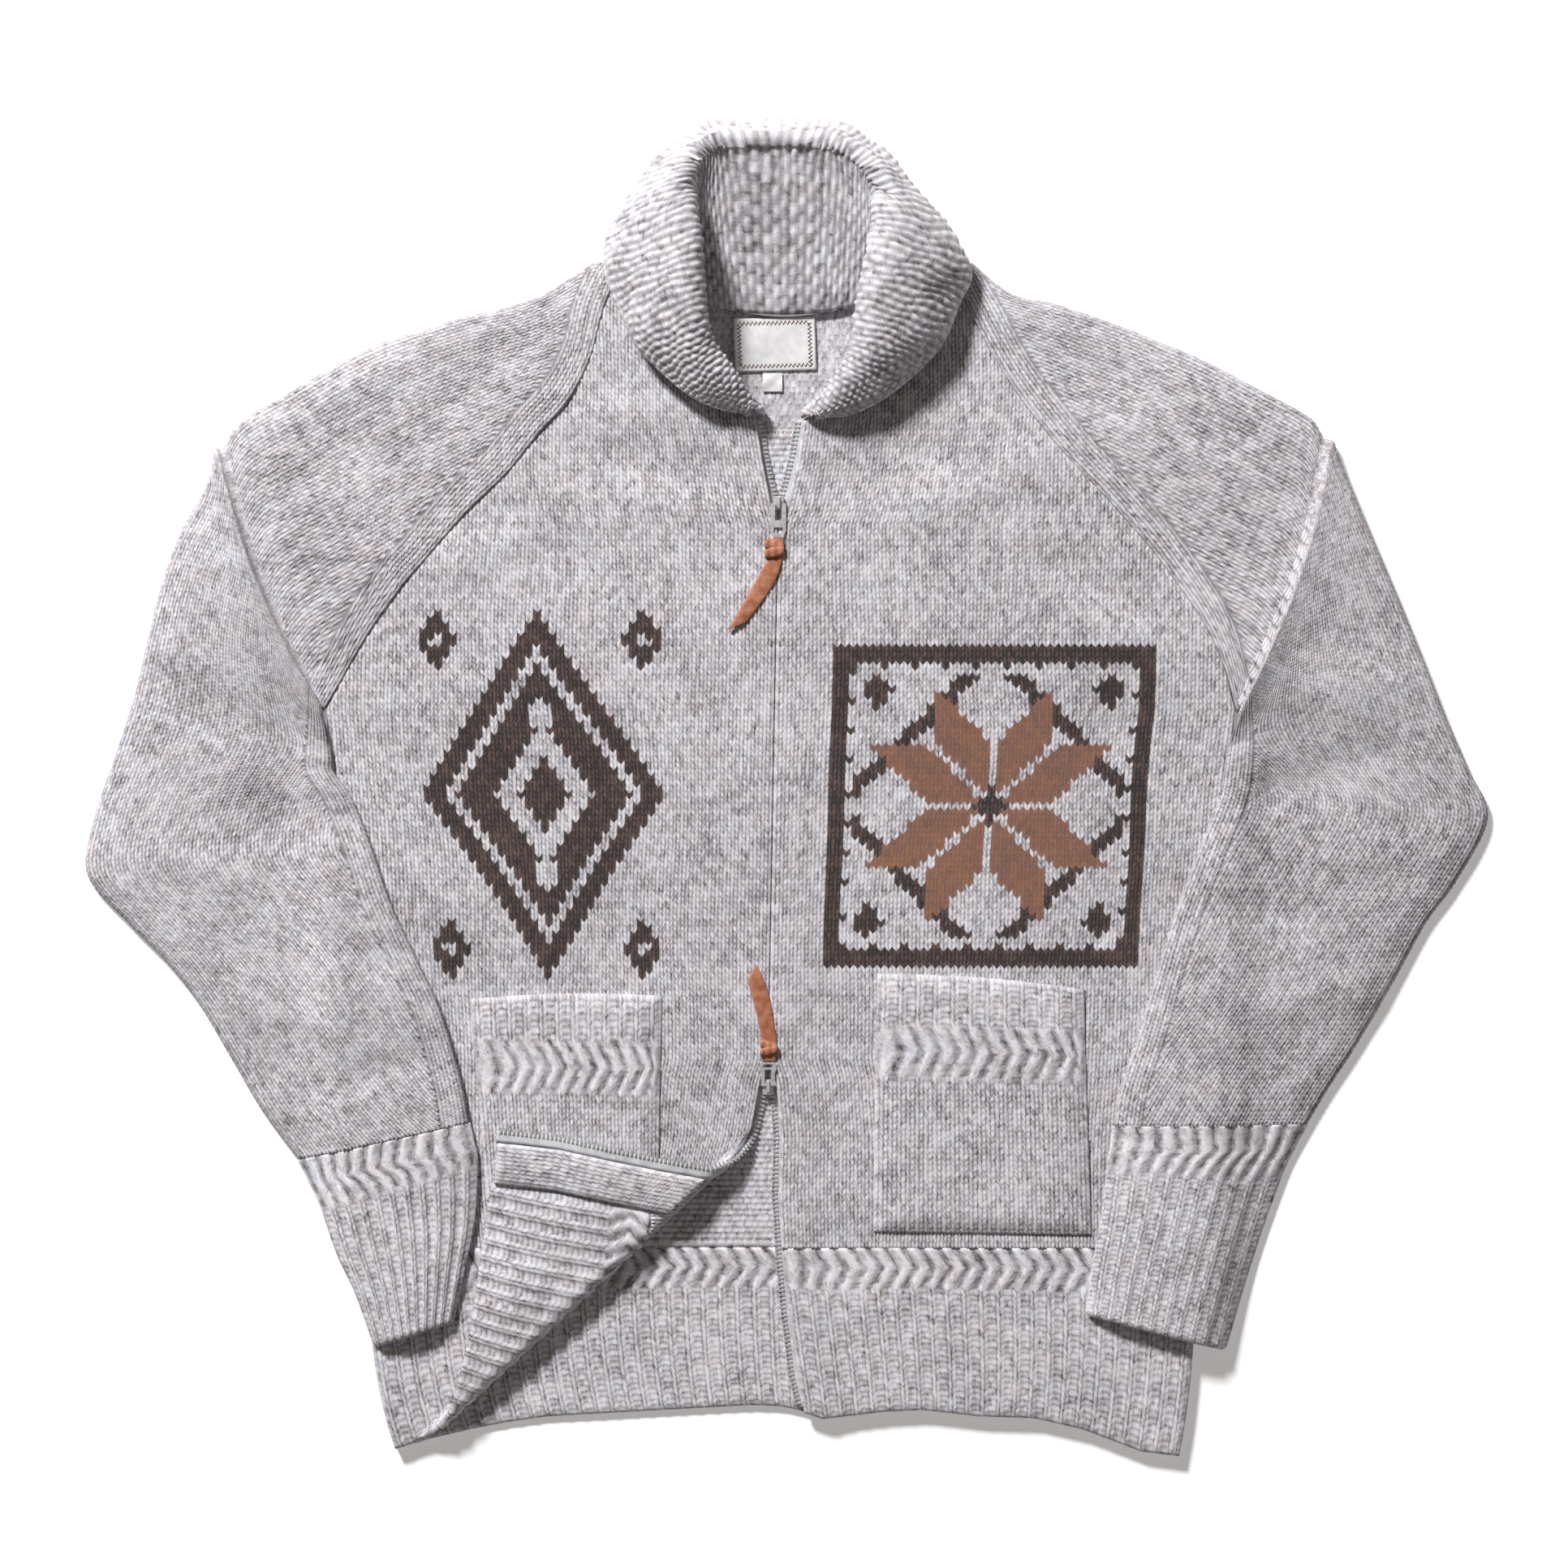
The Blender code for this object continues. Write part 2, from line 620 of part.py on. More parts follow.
def build_sleeve(node, form, raglan, shoulder, tube, group):
    seam = beside_line([Vector(point) for point in raglan], SEAM_STEP * -form.outward)
    seam[-1].x += ARMPIT_EASE * form.outward
    rings = []
    for row, (inner, outer) in enumerate(zip(seam, shoulder)):
        bow = PLEAT_BOW * ease(3.0, len(seam) - 1.0, row)
        shares = [k / 8.0 for k in range(9)]
        rings.append(tube_row(form, inner, Vector(outer), bow, 0.0, shares, shares, False, False))
    pleat_inner = seam[-1]
    pleat_outer = Vector(shoulder[-1])
    bow = PLEAT_BOW
    along = (pleat_outer - pleat_inner).normalized()
    past = Vector((-along.y, along.x)) * form.outward
    for distance, height in PLEAT_STEPS:
        inner = pleat_inner + past * (distance + 2.0)
        outer = pleat_outer + past * distance
        shares = [0.0, 0.05] + [mix(0.1, 1.0, k / 6.0) for k in range(7)]
        rings.append(tube_row(form, inner, outer, bow, height, shares, shares, True, True))
    for row, (u_in, v_in, u_out, v_out, bump) in enumerate(tube):
        inner = Vector((u_in, v_in))
        outer = Vector((u_out, v_out))
        bow = max(0.0, PLEAT_BOW - 3.0 * (row + 1))
        shares = form.shares(inner, outer)
        rings.append(tube_row(form, inner, outer, bow, bump, shares, shares, True, True))
    rings.insert(-1, level_ring(rings[-1], rings[-2]))
    reliefs = [[0.0]] * len(rings)
    mesh = rings_to_mesh(rings, reliefs, form.outward < 0.0)
    return sheet_object(node, mesh, "grey_knit", KNIT, 0.0, group)


def level_ring(end, neighbour):
    """Copy of an end ring a little way in, so that the wall ends square."""
    way = sum((b - a for a, b in zip(end, neighbour)), Vector()) / len(end)
    way.z = 0.0
    return [point + way.normalized() * LEVEL_STEP for point in end]


def build_cuff(node, form, table, group):
    columns = 2 * CUFF_RIBS
    shares = [k / columns for k in range(columns + 1)]
    lower_shares = [k / CUFF_RIBS for k in range(CUFF_RIBS + 1)]
    raised = [float(k % 2) for k in range(columns + 1)]
    rings = []
    for u_in, v_in, u_out, v_out, step in table:
        moved = [min(1.0, s + step * 0.5 / columns * 2.0 * math.sin(math.pi * s)) for s in shares]
        rings.append(tube_row(form, Vector((u_in, v_in)), Vector((u_out, v_out)), 0.0, 0.0,
                              moved, lower_shares, True, True))
    rings.insert(1, level_ring(rings[0], rings[1]))
    mesh = rings_to_mesh(rings, [raised] * len(rings), form.outward < 0.0)
    return sheet_object(node, mesh, "grey_knit", KNIT, CUFF_RELIEF, group)


# Collar: sections from the zip top on the wearer's right, round the back, to the left

# Columns: seam, roll edge, outline, free edge (u, v each), crest, free height, seam height in mm
COLLAR_STATIONS = (
    (940, 514, 935, 499, 920, 508, 914, 512, 20, 12.5, 10.4),
    (914, 500, 917, 474, 889, 503, 882, 507, 27, 15, 10.4),
    (884, 476, 898, 448, 855, 488, 849, 493, 34, 17, 10.4),
    (858, 448, 881, 420, 822, 460, 816, 466, 40, 18, 10.4),
    (836, 414, 871, 385, 790, 424, 784, 430, 45, 18, 10.4),
    (818, 374, 869, 340, 768, 378, 761, 382, 48, 18, 10.4),
    (808, 340, 866, 296, 752, 336, 746, 340, 48, 16, 10.4),
    (826, 350, 860, 250, 752, 292, 756, 306, 46, 12, 7.0),
    (850, 364, 861, 214, 776, 250, 790, 276, 43, 8, 4.8),
    (880, 376, 876, 194, 814, 196, 836, 246, 40, 5.4, 4.8),
    (915, 383, 905, 190, 864, 156, 885, 236, 38, 5.4, 4.8),
    (962, 386, 962, 192, 962, 151, 962, 240, 37, 5.4, 4.8),
    (1008, 384, 1010, 193, 1045, 156, 1032, 238, 38, 5.4, 4.8),
    (1045, 377, 1046, 206, 1088, 186, 1070, 238, 40, 5.4, 4.8),
    (1078, 364, 1068, 226, 1124, 232, 1108, 264, 43, 8, 4.8),
    (1104, 348, 1072, 258, 1160, 278, 1152, 298, 46, 12, 7.0),
    (1122, 340, 1069, 300, 1190, 332, 1195, 337, 48, 16, 10.4),
    (1112, 376, 1058, 346, 1176, 372, 1182, 376, 48, 18, 10.4),
    (1096, 412, 1053, 388, 1157, 419, 1163, 424, 45, 18, 10.4),
    (1076, 446, 1048, 428, 1130, 452, 1136, 458, 40, 18, 10.4),
    (1048, 478, 1033, 458, 1094, 484, 1100, 489, 34, 17, 10.4),
    (1018, 500, 1013, 484, 1050, 508, 1056, 513, 27, 15, 10.4),
    (988, 516, 995, 502, 1010, 513, 1016, 517, 20, 12.5, 10.4),
)
COLLAR_POINTS = 10
COLLAR_RELIEF_FROM = 0.0105
MILLIMETRE = 0.001


def collar_section(row):
    """Inner face of the wall at one station, from the neck seam over the roll to the free edge."""
    seam, roll, outline, free = (Vector((row[i], row[i + 1])) for i in (0, 2, 4, 6))
    crest, free_height, seam_height = (value * MILLIMETRE for value in row[8:11])
    wall = COLLAR_KNIT / UNIT
    outward = (outline - roll).normalized()
    tucked = (free - outline).dot(outward) < -6.0
    roll = roll + outward * wall
    outline = outline - outward * wall * (1.0 if tucked else 0.6)
    free = free - outward * wall * (0.0 if tucked else 0.6)
    crest -= COLLAR_KNIT
    fall_height = mix(crest, free_height, 0.45 if tucked else 0.35)
    edge_height = mix(crest, free_height, 0.72 if tucked else 0.85)
    guide = (
        place(seam.x, seam.y, seam_height),
        place(*seam.lerp(roll, 0.72), mix(seam_height, crest, 0.55)),
        place(*roll, mix(seam_height, crest, 0.86)),
        place(*roll.lerp(outline, 0.22), crest),
        place(*roll.lerp(outline, 0.68), fall_height),
        place(*outline, edge_height),
        place(*free, free_height),
    )
    return even_points(guide, COLLAR_POINTS)


def build_collar(group):
    count = 2 * COLLAR_RIDGES + 1
    sections = [collar_section(row) for row in COLLAR_STATIONS]
    lines = [smooth_points([section[k] for section in sections], count) for k in range(COLLAR_POINTS)]
    mesh = bmesh.new()
    relief = mesh.verts.layers.float.new("relief")
    grid = []
    for station in range(count):
        line = []
        for k in range(COLLAR_POINTS):
            point = lines[k][station]
            if k > COLLAR_POINTS // 2:
                point.z = max(point.z, COLLAR_KNIT + GAP / 2.0)
            vert = mesh.verts.new(point)
            shown = 0 < k < COLLAR_POINTS - 1 and point.z > COLLAR_RELIEF_FROM
            vert[relief] = float(station % 2) if shown and 0 < station < count - 1 else 0.0
            line.append(vert)
        grid.append(line)
    for before, after in zip(grid, grid[1:]):
        for k in range(COLLAR_POINTS - 1):
            mesh.faces.new((after[k], after[k + 1], before[k + 1], before[k]))
    mesh.normal_update()
    sheet_object("collar", mesh, "grey_knit", COLLAR_KNIT, GARTER_RELIEF, group)


# Pockets: a ribbed top band, a zigzag band, then plain knit, laid on the front

# Columns: v at the wearer's right corner, u there, u and v at the other corner, kind of row
RIGHT_POCKET = (
    (1231, 580, 816, 1227, 1), (1283, 583, 815, 1284, 1), (1314, 586, 814, 1316, 2),
    (1344, 589, 813, 1347, 1), (1352, 590, 813, 1355, 0), (1480, 600, 811, 1480, 0),
)
LEFT_POCKET = (
    (1200, 1081, 1336, 1219, 1), (1262, 1079, 1337, 1270, 1), (1294, 1078, 1338, 1302, 2),
    (1326, 1078, 1339, 1332, 1), (1334, 1078, 1339, 1340, 0), (1518, 1076, 1345, 1522, 0),
)


def pocket_rows(table):
    rows = []
    for v_right, u_right, u_left, v_left, kind in table:
        line = []
        for k in range(2 * POCKET_RIBS + 1):
            share = k / (2.0 * POCKET_RIBS)
            shift = ZIGZAG_SHIFT * min(1.0, 8.0 * share, 8.0 * (1.0 - share)) if kind == 2 else 0.0
            sag = 5.0 * math.sin(math.pi * share) if v_right < 1232 else 0.0
            raised = float(k % 2) if kind else 0.0
            line.append((mix(u_right, u_left, share) + shift, mix(v_right, v_left, share) - sag, raised))
        rows.append(line)
    return rows


def build_pockets(group):
    def on_front(u, v, raised):
        return KNIT + GAP

    for node, table in (("pocket_right", RIGHT_POCKET), ("pocket_left", LEFT_POCKET)):
        laid_sheet(node, pocket_rows(table), flat_front, on_front, group,
                   thickness=POCKET_KNIT, relief_height=RIB_RELIEF)


# Zip tapes, facing and hardware

# Columns: u and v of each tape's toothed edge
RIGHT_TEETH = (
    (937, 517), (943, 558), (950, 590), (957.8, 622), (945.6, 1335), (941, 1351), (930, 1400),
    (905, 1470), (911, 1537), (917, 1590), (926, 1660), (928, 1736),
)
LEFT_TEETH = (
    (983, 517), (976, 558), (968, 590), (959.7, 622), (946.5, 1335), (952, 1351), (956, 1400),
    (954, 1470), (958, 1537), (965, 1617), (975, 1696), (985, 1736),
)
TAPE_UNDER = 8.0
FACING_WIDTH = 50.0
FACING_GAP = 0.0005
# Columns: v at the facing's inner and outer side
FACING_ROWS = ((1520, 1476), (1535, 1505), (1560, 1545), (1620, 1610), (1680, 1675), (1732, 1732))


def under_folding_front(u, v, raised):
    return ZIP_RAISE * flap_fade(v) - GAP - TAPE


def under_flat_front(u, v, raised):
    return ZIP_RAISE - GAP - TAPE


def build_tapes(group):
    for node, teeth, edge, setting, inward in (
            ("zip_tape_right", RIGHT_TEETH, RIGHT_ZIP_EDGE, folded, -1.0),
            ("zip_tape_left", LEFT_TEETH, LEFT_ZIP_EDGE, flat_front, 1.0)):
        rows = []
        stops = sorted({v for u, v in teeth} | {800, 1000, 1200, 1309, 1435})
        for v in stops:
            toothed = read_line(teeth, v)
            hidden = read_line(edge, v) + inward * TAPE_UNDER
            if inward * (hidden - toothed) < TAPE_UNDER:
                hidden = toothed + inward * TAPE_UNDER
            rows.append([(u, v, 0.0) for u in sorted((toothed, hidden))])

        under = under_folding_front if setting is folded else under_flat_front
        laid_sheet(node, rows, setting, under, group, thickness=TAPE,
                   finish="tape_cloth", fold=setting is folded)


def build_facing(group):
    rows = []
    for v_inner, v_outer in FACING_ROWS:
        line = []
        for k in range(5):
            share = k / 4.0
            v = mix(v_inner, v_outer, share)
            edge = read_line(RIGHT_ZIP_EDGE, v) - TAPE_UNDER - 1.5
            line.append((edge - FACING_WIDTH * (1.0 - share), v, 0.0))
        rows.append(line)

    def inside_front(u, v, raised):
        return -FACING_GAP - FACING_KNIT

    laid_sheet("facing_right", rows, folded, inside_front, group, thickness=FACING_KNIT, fold=True)


def outline_plate(node, loops, low, high):
    """Flat plate cut to closed outlines; loops after the first are holes."""
    curve = bpy.data.curves.new(node, "CURVE")
    curve.dimensions = "2D"
    curve.fill_mode = "BOTH"
    curve.extrude = (high - low) / 2.0
    for loop in loops:
        spline = curve.splines.new("POLY")
        spline.points.add(len(loop) - 1)
        for point, (x, y) in zip(spline.points, loop):
            point.co = (x, y, 0.0, 1.0)
        spline.use_cyclic_u = True
    guide = bpy.data.objects.new(node + "_outline", curve)
    bpy.context.scene.collection.objects.link(guide)
    depsgraph = bpy.context.evaluated_depsgraph_get()
    data = bpy.data.meshes.new_from_object(guide.evaluated_get(depsgraph))
    bpy.data.objects.remove(guide, do_unlink=True)
    mesh = bmesh.new()
    mesh.from_mesh(data)
    bmesh.ops.remove_doubles(mesh, verts=mesh.verts[:], dist=0.00001)
    bmesh.ops.recalc_face_normals(mesh, faces=mesh.faces[:])
    bmesh.ops.translate(mesh, verts=mesh.verts[:], vec=(0.0, 0.0, (low + high) / 2.0))
    mesh.to_mesh(data)
    mesh.free()
    return data


def add_object(node, data, finish, group, transform=None):
    if transform is not None:
        data.transform(transform)
    item = bpy.data.objects.new(node, data)
    data.materials.clear()
    data.materials.append(finish_for(node, finish))
    group.objects.link(item)
    return item


def soften(item, width, segments=1):
    bevel = item.modifiers.new("edges", "BEVEL")
    bevel.width = width
    bevel.segments = segments
    bevel.limit_method = "ANGLE"


def join_with(item, name, data, cutters):
    """Union with a second shape, kept among the cutters."""
    other = bpy.data.objects.new(name, data)
    cutters.objects.link(other)
    other.hide_render = True
    other.display_type = "WIRE"
    union = item.modifiers.new(name, "BOOLEAN")
    union.operation = "UNION"
    union.object = other


def drawn(points):
    """Drawing points as world x and y."""
    return [tuple(place(u, v, 0.0).xy) for u, v in points]


def rectangle(u_low, v_low, u_high, v_high):
    return ((u_low, v_low), (u_low, v_high), (u_high, v_high), (u_high, v_low))


SLIDER_BASE = FRONT_BASE + TAPE + GAP
SLIDER_TOP = SLIDER_BASE + SLIDER_THICK
BAR_REACH = BAR_HALF * math.sqrt(2.0) + BAR_CLEAR
BAR_Z = SLIDER_TOP + BAR_REACH
PULL_LOW = BAR_Z - PULL_THICK / 2.0
STRAP_LOW = FRONT_BASE + ZIP_RAISE + KNIT + GAP

# Sliders: place of the puller's bar, the body's outline and the ends of the bail, in the drawing
SLIDERS = {
    "top": {"bar": (958.9, 621.5),
            "body": ((952.4, 611), (951.8, 620), (953.6, 628), (964.2, 628), (966.0, 620), (965.4, 611)),
            "bail": (612.5, 626.5)},
    "bottom": {"bar": (946.2, 1336.5),
               "body": ((940.9, 1330), (939.2, 1338), (939.8, 1349), (952.6, 1349), (953.2, 1338),
                        (951.5, 1330)),
               "bail": (1331.5, 1346.5)},
}
PULL_OUTLINES = {
    "top": ((949.5, 620.2), (949.0, 640), (949.6, 655), (952.6, 662.5), (965.2, 662.5), (968.2, 655),
            (968.8, 640), (968.3, 620.2)),
    "bottom": ((937.4, 1337.8), (938.0, 1322), (935.4, 1317), (936.0, 1310.5), (939.4, 1308.2),
               (953.0, 1308.2), (956.4, 1310.5), (957.0, 1317), (954.4, 1322), (955.0, 1337.8)),
}
PULL_WINDOWS = {
    "top": (rectangle(954.9, 622.8, 962.9, 641), rectangle(953.4, 650, 964.4, 657)),
    "bottom": (rectangle(942.2, 1317.8, 950.2, 1335.2), rectangle(940.0, 1311.2, 952.4, 1315.0)),
}
STRAP_OUTLINES = {
    "top": ((949.0, 663.4), (947.6, 684), (933, 712), (897, 776), (921, 766), (952, 722),
            (964.0, 690), (966.0, 663.4)),
    "bottom": ((938.6, 1307.4), (938.4, 1284), (930, 1240), (922, 1210), (932, 1188), (944, 1214),
               (952, 1250), (957.0, 1284), (955.4, 1307.4)),
}
KNOTS = {"top": rectangle(942, 669, 966, 685), "bottom": rectangle(936.5, 1285, 958, 1298)}


def build_sliders(group, cutters):
    for place_name, slider in SLIDERS.items():
        node = "slider_" + place_name
        body = outline_plate(node, [drawn(slider["body"])], SLIDER_BASE, SLIDER_TOP)
        item = add_object(node, body, "metal", group)
        soften(item, 0.0004)
        bar_u, bar_v = slider["bar"]
        bar = place(bar_u, bar_v, BAR_Z)
        ends = sorted(place(bar_u, v, 0.0).y for v in slider["bail"])
        crown = BAR_Z + BAR_REACH + BAIL_WALL
        shoulder = crown - BAIL_WALL / 2.0
        inner_low, inner_high = ends[0] + BAIL_WALL, ends[1] - BAIL_WALL
        outer = ((ends[0], SLIDER_TOP - 2.0 * BAIL_WALL), (ends[1], SLIDER_TOP - 2.0 * BAIL_WALL),
                 (ends[1], shoulder), (ends[1] - BAIL_WALL / 2.0, crown),
                 (ends[0] + BAIL_WALL / 2.0, crown), (ends[0], shoulder))
        sunk = SLIDER_TOP - BAIL_WALL
        hole = ((inner_low, sunk), (inner_high, sunk),
                (inner_high, crown - BAIL_WALL), (inner_low, crown - BAIL_WALL))
        bail = outline_plate(node + "_bail", [outer, hole], -BAIL_HALF_WIDTH, BAIL_HALF_WIDTH)
        upright = Matrix(((0.0, 0.0, 1.0, bar.x), (1.0, 0.0, 0.0, 0.0), (0.0, 1.0, 0.0, 0.0),
                          (0.0, 0.0, 0.0, 1.0)))
        bail.transform(upright)
        join_with(item, node + "_bail", bail, cutters)


def build_pulls(group, cutters):
    for place_name in SLIDERS:
        windows = PULL_WINDOWS[place_name]
        loops = [drawn(PULL_OUTLINES[place_name])] + [drawn(window) for window in windows]
        plate = outline_plate("pull_" + place_name, loops, PULL_LOW, PULL_LOW + PULL_THICK)
        add_object("pull_" + place_name, plate, "metal", group)
        node = "strap_" + place_name
        outline = drawn(STRAP_OUTLINES[place_name])
        strap = outline_plate(node, [outline], STRAP_LOW, STRAP_LOW + STRAP_THICK)
        item = add_object(node, strap, "leather", group)
        knot = outline_plate(node + "_knot", [drawn(KNOTS[place_name])], STRAP_LOW + GAP / 2.0,
                             STRAP_LOW + KNOT_THICK)
        join_with(item, node + "_knot", knot, cutters)


def build_labels(group):
    label = outline_plate("label", [drawn(((903, 392), (905, 458), (1006, 455), (1004, 389)))],
                          KNIT + GAP, KNIT + GAP + 0.0008)
    add_object("label", label, "label_cloth", group)
    tab = outline_plate("size_tab", [drawn(rectangle(940, 459, 964, 482))], KNIT + GAP, KNIT + GAP + 0.0006)
    add_object("size_tab", tab, "label_cloth", group)


def main():
    clear_scene()
    group = new_collection("cardigan")
    cutters = new_collection("cutters")
    build_back(group)
    build_fronts(group)
    right_form = SleeveForm(RIGHT_SIDE, -1.0, 946.0)
    left_form = SleeveForm(LEFT_SIDE, 1.0, 946.0)
    build_sleeve("sleeve_right", right_form, RIGHT_RAGLAN, RIGHT_SHOULDER, RIGHT_TUBE, group)
    build_sleeve("sleeve_left", left_form, LEFT_RAGLAN, LEFT_SHOULDER, LEFT_TUBE, group)
    build_cuff("cuff_right", right_form, RIGHT_CUFF, group)
    build_cuff("cuff_left", left_form, LEFT_CUFF, group)
    build_collar(group)
    build_pockets(group)
    build_tapes(group)
    build_facing(group)
    build_sliders(group, cutters)
    build_pulls(group, cutters)
    build_labels(group)


main()
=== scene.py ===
"""Looks of a chunky-knit shawl-collar zip cardigan, laid flat on its back.

The layout drawing looks straight down on the garment: u runs to the viewer's right and v
runs down to the hem, in units of UNIT metres. Left and right in names are the wearer's,
so the wearer's right is on the viewer's left. A wale is a column of stitches and a course
is a row of them.
"""

import json
import logging
import math
from dataclasses import dataclass
from enum import Enum
from typing import Callable, Sequence

import bmesh
import bpy
import numpy as np
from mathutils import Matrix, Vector
from mathutils.geometry import delaunay_2d_cdt

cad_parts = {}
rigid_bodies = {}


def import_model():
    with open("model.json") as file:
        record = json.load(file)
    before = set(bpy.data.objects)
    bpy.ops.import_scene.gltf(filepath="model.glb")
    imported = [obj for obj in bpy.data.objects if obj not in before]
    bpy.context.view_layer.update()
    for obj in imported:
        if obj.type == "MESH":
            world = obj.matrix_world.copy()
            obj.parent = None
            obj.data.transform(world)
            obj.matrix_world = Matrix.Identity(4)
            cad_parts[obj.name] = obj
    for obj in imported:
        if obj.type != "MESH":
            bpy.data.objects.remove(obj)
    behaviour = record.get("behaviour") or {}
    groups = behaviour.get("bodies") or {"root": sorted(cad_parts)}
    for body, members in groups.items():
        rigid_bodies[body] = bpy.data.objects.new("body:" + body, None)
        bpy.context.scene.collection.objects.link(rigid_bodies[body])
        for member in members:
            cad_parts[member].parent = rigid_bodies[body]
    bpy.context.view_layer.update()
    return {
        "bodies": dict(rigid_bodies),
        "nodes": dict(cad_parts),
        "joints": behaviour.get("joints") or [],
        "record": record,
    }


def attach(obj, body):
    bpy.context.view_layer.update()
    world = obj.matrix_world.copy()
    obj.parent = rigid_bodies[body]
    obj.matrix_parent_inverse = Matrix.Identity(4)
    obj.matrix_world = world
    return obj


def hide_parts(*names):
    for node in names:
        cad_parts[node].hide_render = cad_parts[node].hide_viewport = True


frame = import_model()

LOG = logging.getLogger("cardigan")
Array = np.ndarray
Table = Sequence[Sequence[float]]


class Side(Enum):
    """Side of the wearer, with the way it points across the drawing."""

    RIGHT = -1.0
    LEFT = 1.0


class Held(Enum):
    """How a piece of cloth lies."""

    LAID = "laid"
    FOLDED = "folded"


# Layout drawing
UNIT = 0.00048
CENTRE_U = 970.6
CENTRE_V = 971.6

# Cloth walls and layers, in metres
KNIT = 0.0042
POCKET_KNIT = 0.0036
COLLAR_KNIT = 0.0050
FACING_KNIT = 0.0024
TAPE = 0.0010
GAP = 0.0003
FACING_GAP = 0.0005
FRONT_BASE = KNIT + GAP
ON_FRONT = FRONT_BASE + KNIT + GAP
ZIP_RAISE = TAPE + GAP

# Stitches, in drawing units and metres
WALE = 9.6
COURSE = 7.2
LEG_SLANT = 5.2
LEG_RELIEF = 0.0009
PURL_RELIEF = 0.0007
RIB_RELIEF = 0.0010
HEM_RELIEF = RIB_RELIEF * 1.2
CUFF_RELIEF = RIB_RELIEF * 1.3
POCKET_RELIEF = 0.0011
BAND_RELIEF = LEG_RELIEF + 0.0003
SEAM_GROOVE = 0.0004
ROLLED_EDGE = 0.0012
STRAND_SHIFT = 15.0
LEG_ROWS = 1.5
RIB_ROWS = 1.3
WALE_NUDGE = 0.001
ROW = COURSE / 2.0
COLUMN = WALE / 4.0
COARSE = -1.0

# Folded corner of the right front
FOLD_RADIUS = 0.0067
FOLD_TOP = np.array((904.0, 1430.0))
FOLD_FOOT = np.array((533.0, 1770.0))
FOLD_ALONG = (FOLD_FOOT - FOLD_TOP) / np.linalg.norm(FOLD_FOOT - FOLD_TOP)
FOLD_ACROSS = np.array((FOLD_ALONG[1], -FOLD_ALONG[0]))
FOLD_AXIS = float(FOLD_TOP @ FOLD_ACROSS) - FOLD_RADIUS / UNIT
FOLD_ARC = math.pi * FOLD_RADIUS / UNIT

HEM_SEAM_V = 1538.0

# Rows of the fronts: v and u at the zip edge, then u and v at the outer edge
RIGHT_ROWS = (
    (330, 802, 766, 328), (372, 812, 744, 378), (414, 832, 727, 440), (450, 858, 700, 492),
    (484, 890, 664, 533), (515, 931, 624, 583), (570, 940, 575, 630), (627, 951, 520, 693),
    (648, 958.2, 498, 718), (720, 956.9, 455, 778), (800, 955.4, 420, 838), (880, 953.9, 402, 873),
    (985, 952.0, 411, 985), (1100, 949.9, 418, 1100), (1200, 948.1, 425, 1200),
    (1305, 946.1, 432, 1300), (1330, 937, 434, 1330), (1400, 924, 440, 1400),
    (1470, 899, 446, 1470), (1537, 905, 450.5, 1537),
)
LEFT_ROWS = (
    (332, 1130, 1166, 328), (374, 1118, 1190, 374), (414, 1100, 1216, 424), (450, 1074, 1246, 474),
    (484, 1038, 1280, 520), (517, 990, 1320, 568), (570, 982, 1362, 612), (627, 968, 1412, 668),
    (648, 959.0, 1440, 704), (720, 957.7, 1482, 764), (800, 956.2, 1508, 818),
    (880, 954.7, 1522, 876), (985, 952.8, 1508, 985), (1100, 950.7, 1498, 1100),
    (1200, 948.9, 1493, 1200), (1305, 946.9, 1488, 1300), (1330, 956, 1486, 1330),
    (1400, 962, 1483, 1400), (1470, 960, 1480, 1470), (1537, 963, 1476, 1537),
)
BACK_MIDDLE = (
    388, 425, 462, 500, 540, 585, 630, 680, 712, 770, 828, 878, 985, 1100, 1200, 1300, 1330, 1400,
    1470, 1537,
)
ARMPIT_ROW = 11
RIGHT_ZIP_EDGE = tuple((r[1], r[0]) for r in RIGHT_ROWS) + ((911, 1590), (920, 1660), (922, 1738))
LEFT_ZIP_EDGE = tuple((r[1], r[0]) for r in LEFT_ROWS) + ((971, 1617), (981, 1696), (991, 1738))
RIGHT_SIDE = tuple((r[2], r[3]) for r in RIGHT_ROWS[ARMPIT_ROW:]) + ((460, 1649), (487, 1786))
LEFT_SIDE = tuple((r[2], r[3]) for r in LEFT_ROWS[ARMPIT_ROW:]) + ((1469, 1675), (1453, 1795))
RIGHT_RAGLAN = tuple((r[2], r[3]) for r in RIGHT_ROWS[:ARMPIT_ROW + 1])
LEFT_RAGLAN = tuple((r[2], r[3]) for r in LEFT_ROWS[:ARMPIT_ROW + 1])
HEM_LINE = (
    (487, 1786), (531, 1774), (578, 1763), (624, 1754), (674, 1747), (781, 1741), (853, 1737),
    (924, 1733), (960, 1734), (985, 1739), (1014, 1749), (1093, 1740), (1137, 1738), (1208, 1746),
    (1275, 1748), (1335, 1762), (1406, 1789), (1453, 1795),
)


def place(u: Array, v: Array, z: Array) -> Array:
    """World points of drawing points at height z.

    Args:
        u: Places across the drawing.
        v: Places down the drawing.
        z: Heights in metres.

    Returns:
        Points, with x, y and z along the last axis.
    """
    u, v, z = np.broadcast_arrays(u, v, z)
    return np.stack([(u - CENTRE_U) * UNIT, (CENTRE_V - v) * UNIT, z], axis=-1)


def ease(low: float, high: float, value: Array) -> Array:
    """Smooth step from 0 at low to 1 at high; low may be the larger one."""
    t = np.clip((np.asarray(value, float) - low) / (high - low), 0.0, 1.0)
    return t * t * (3.0 - 2.0 * t)


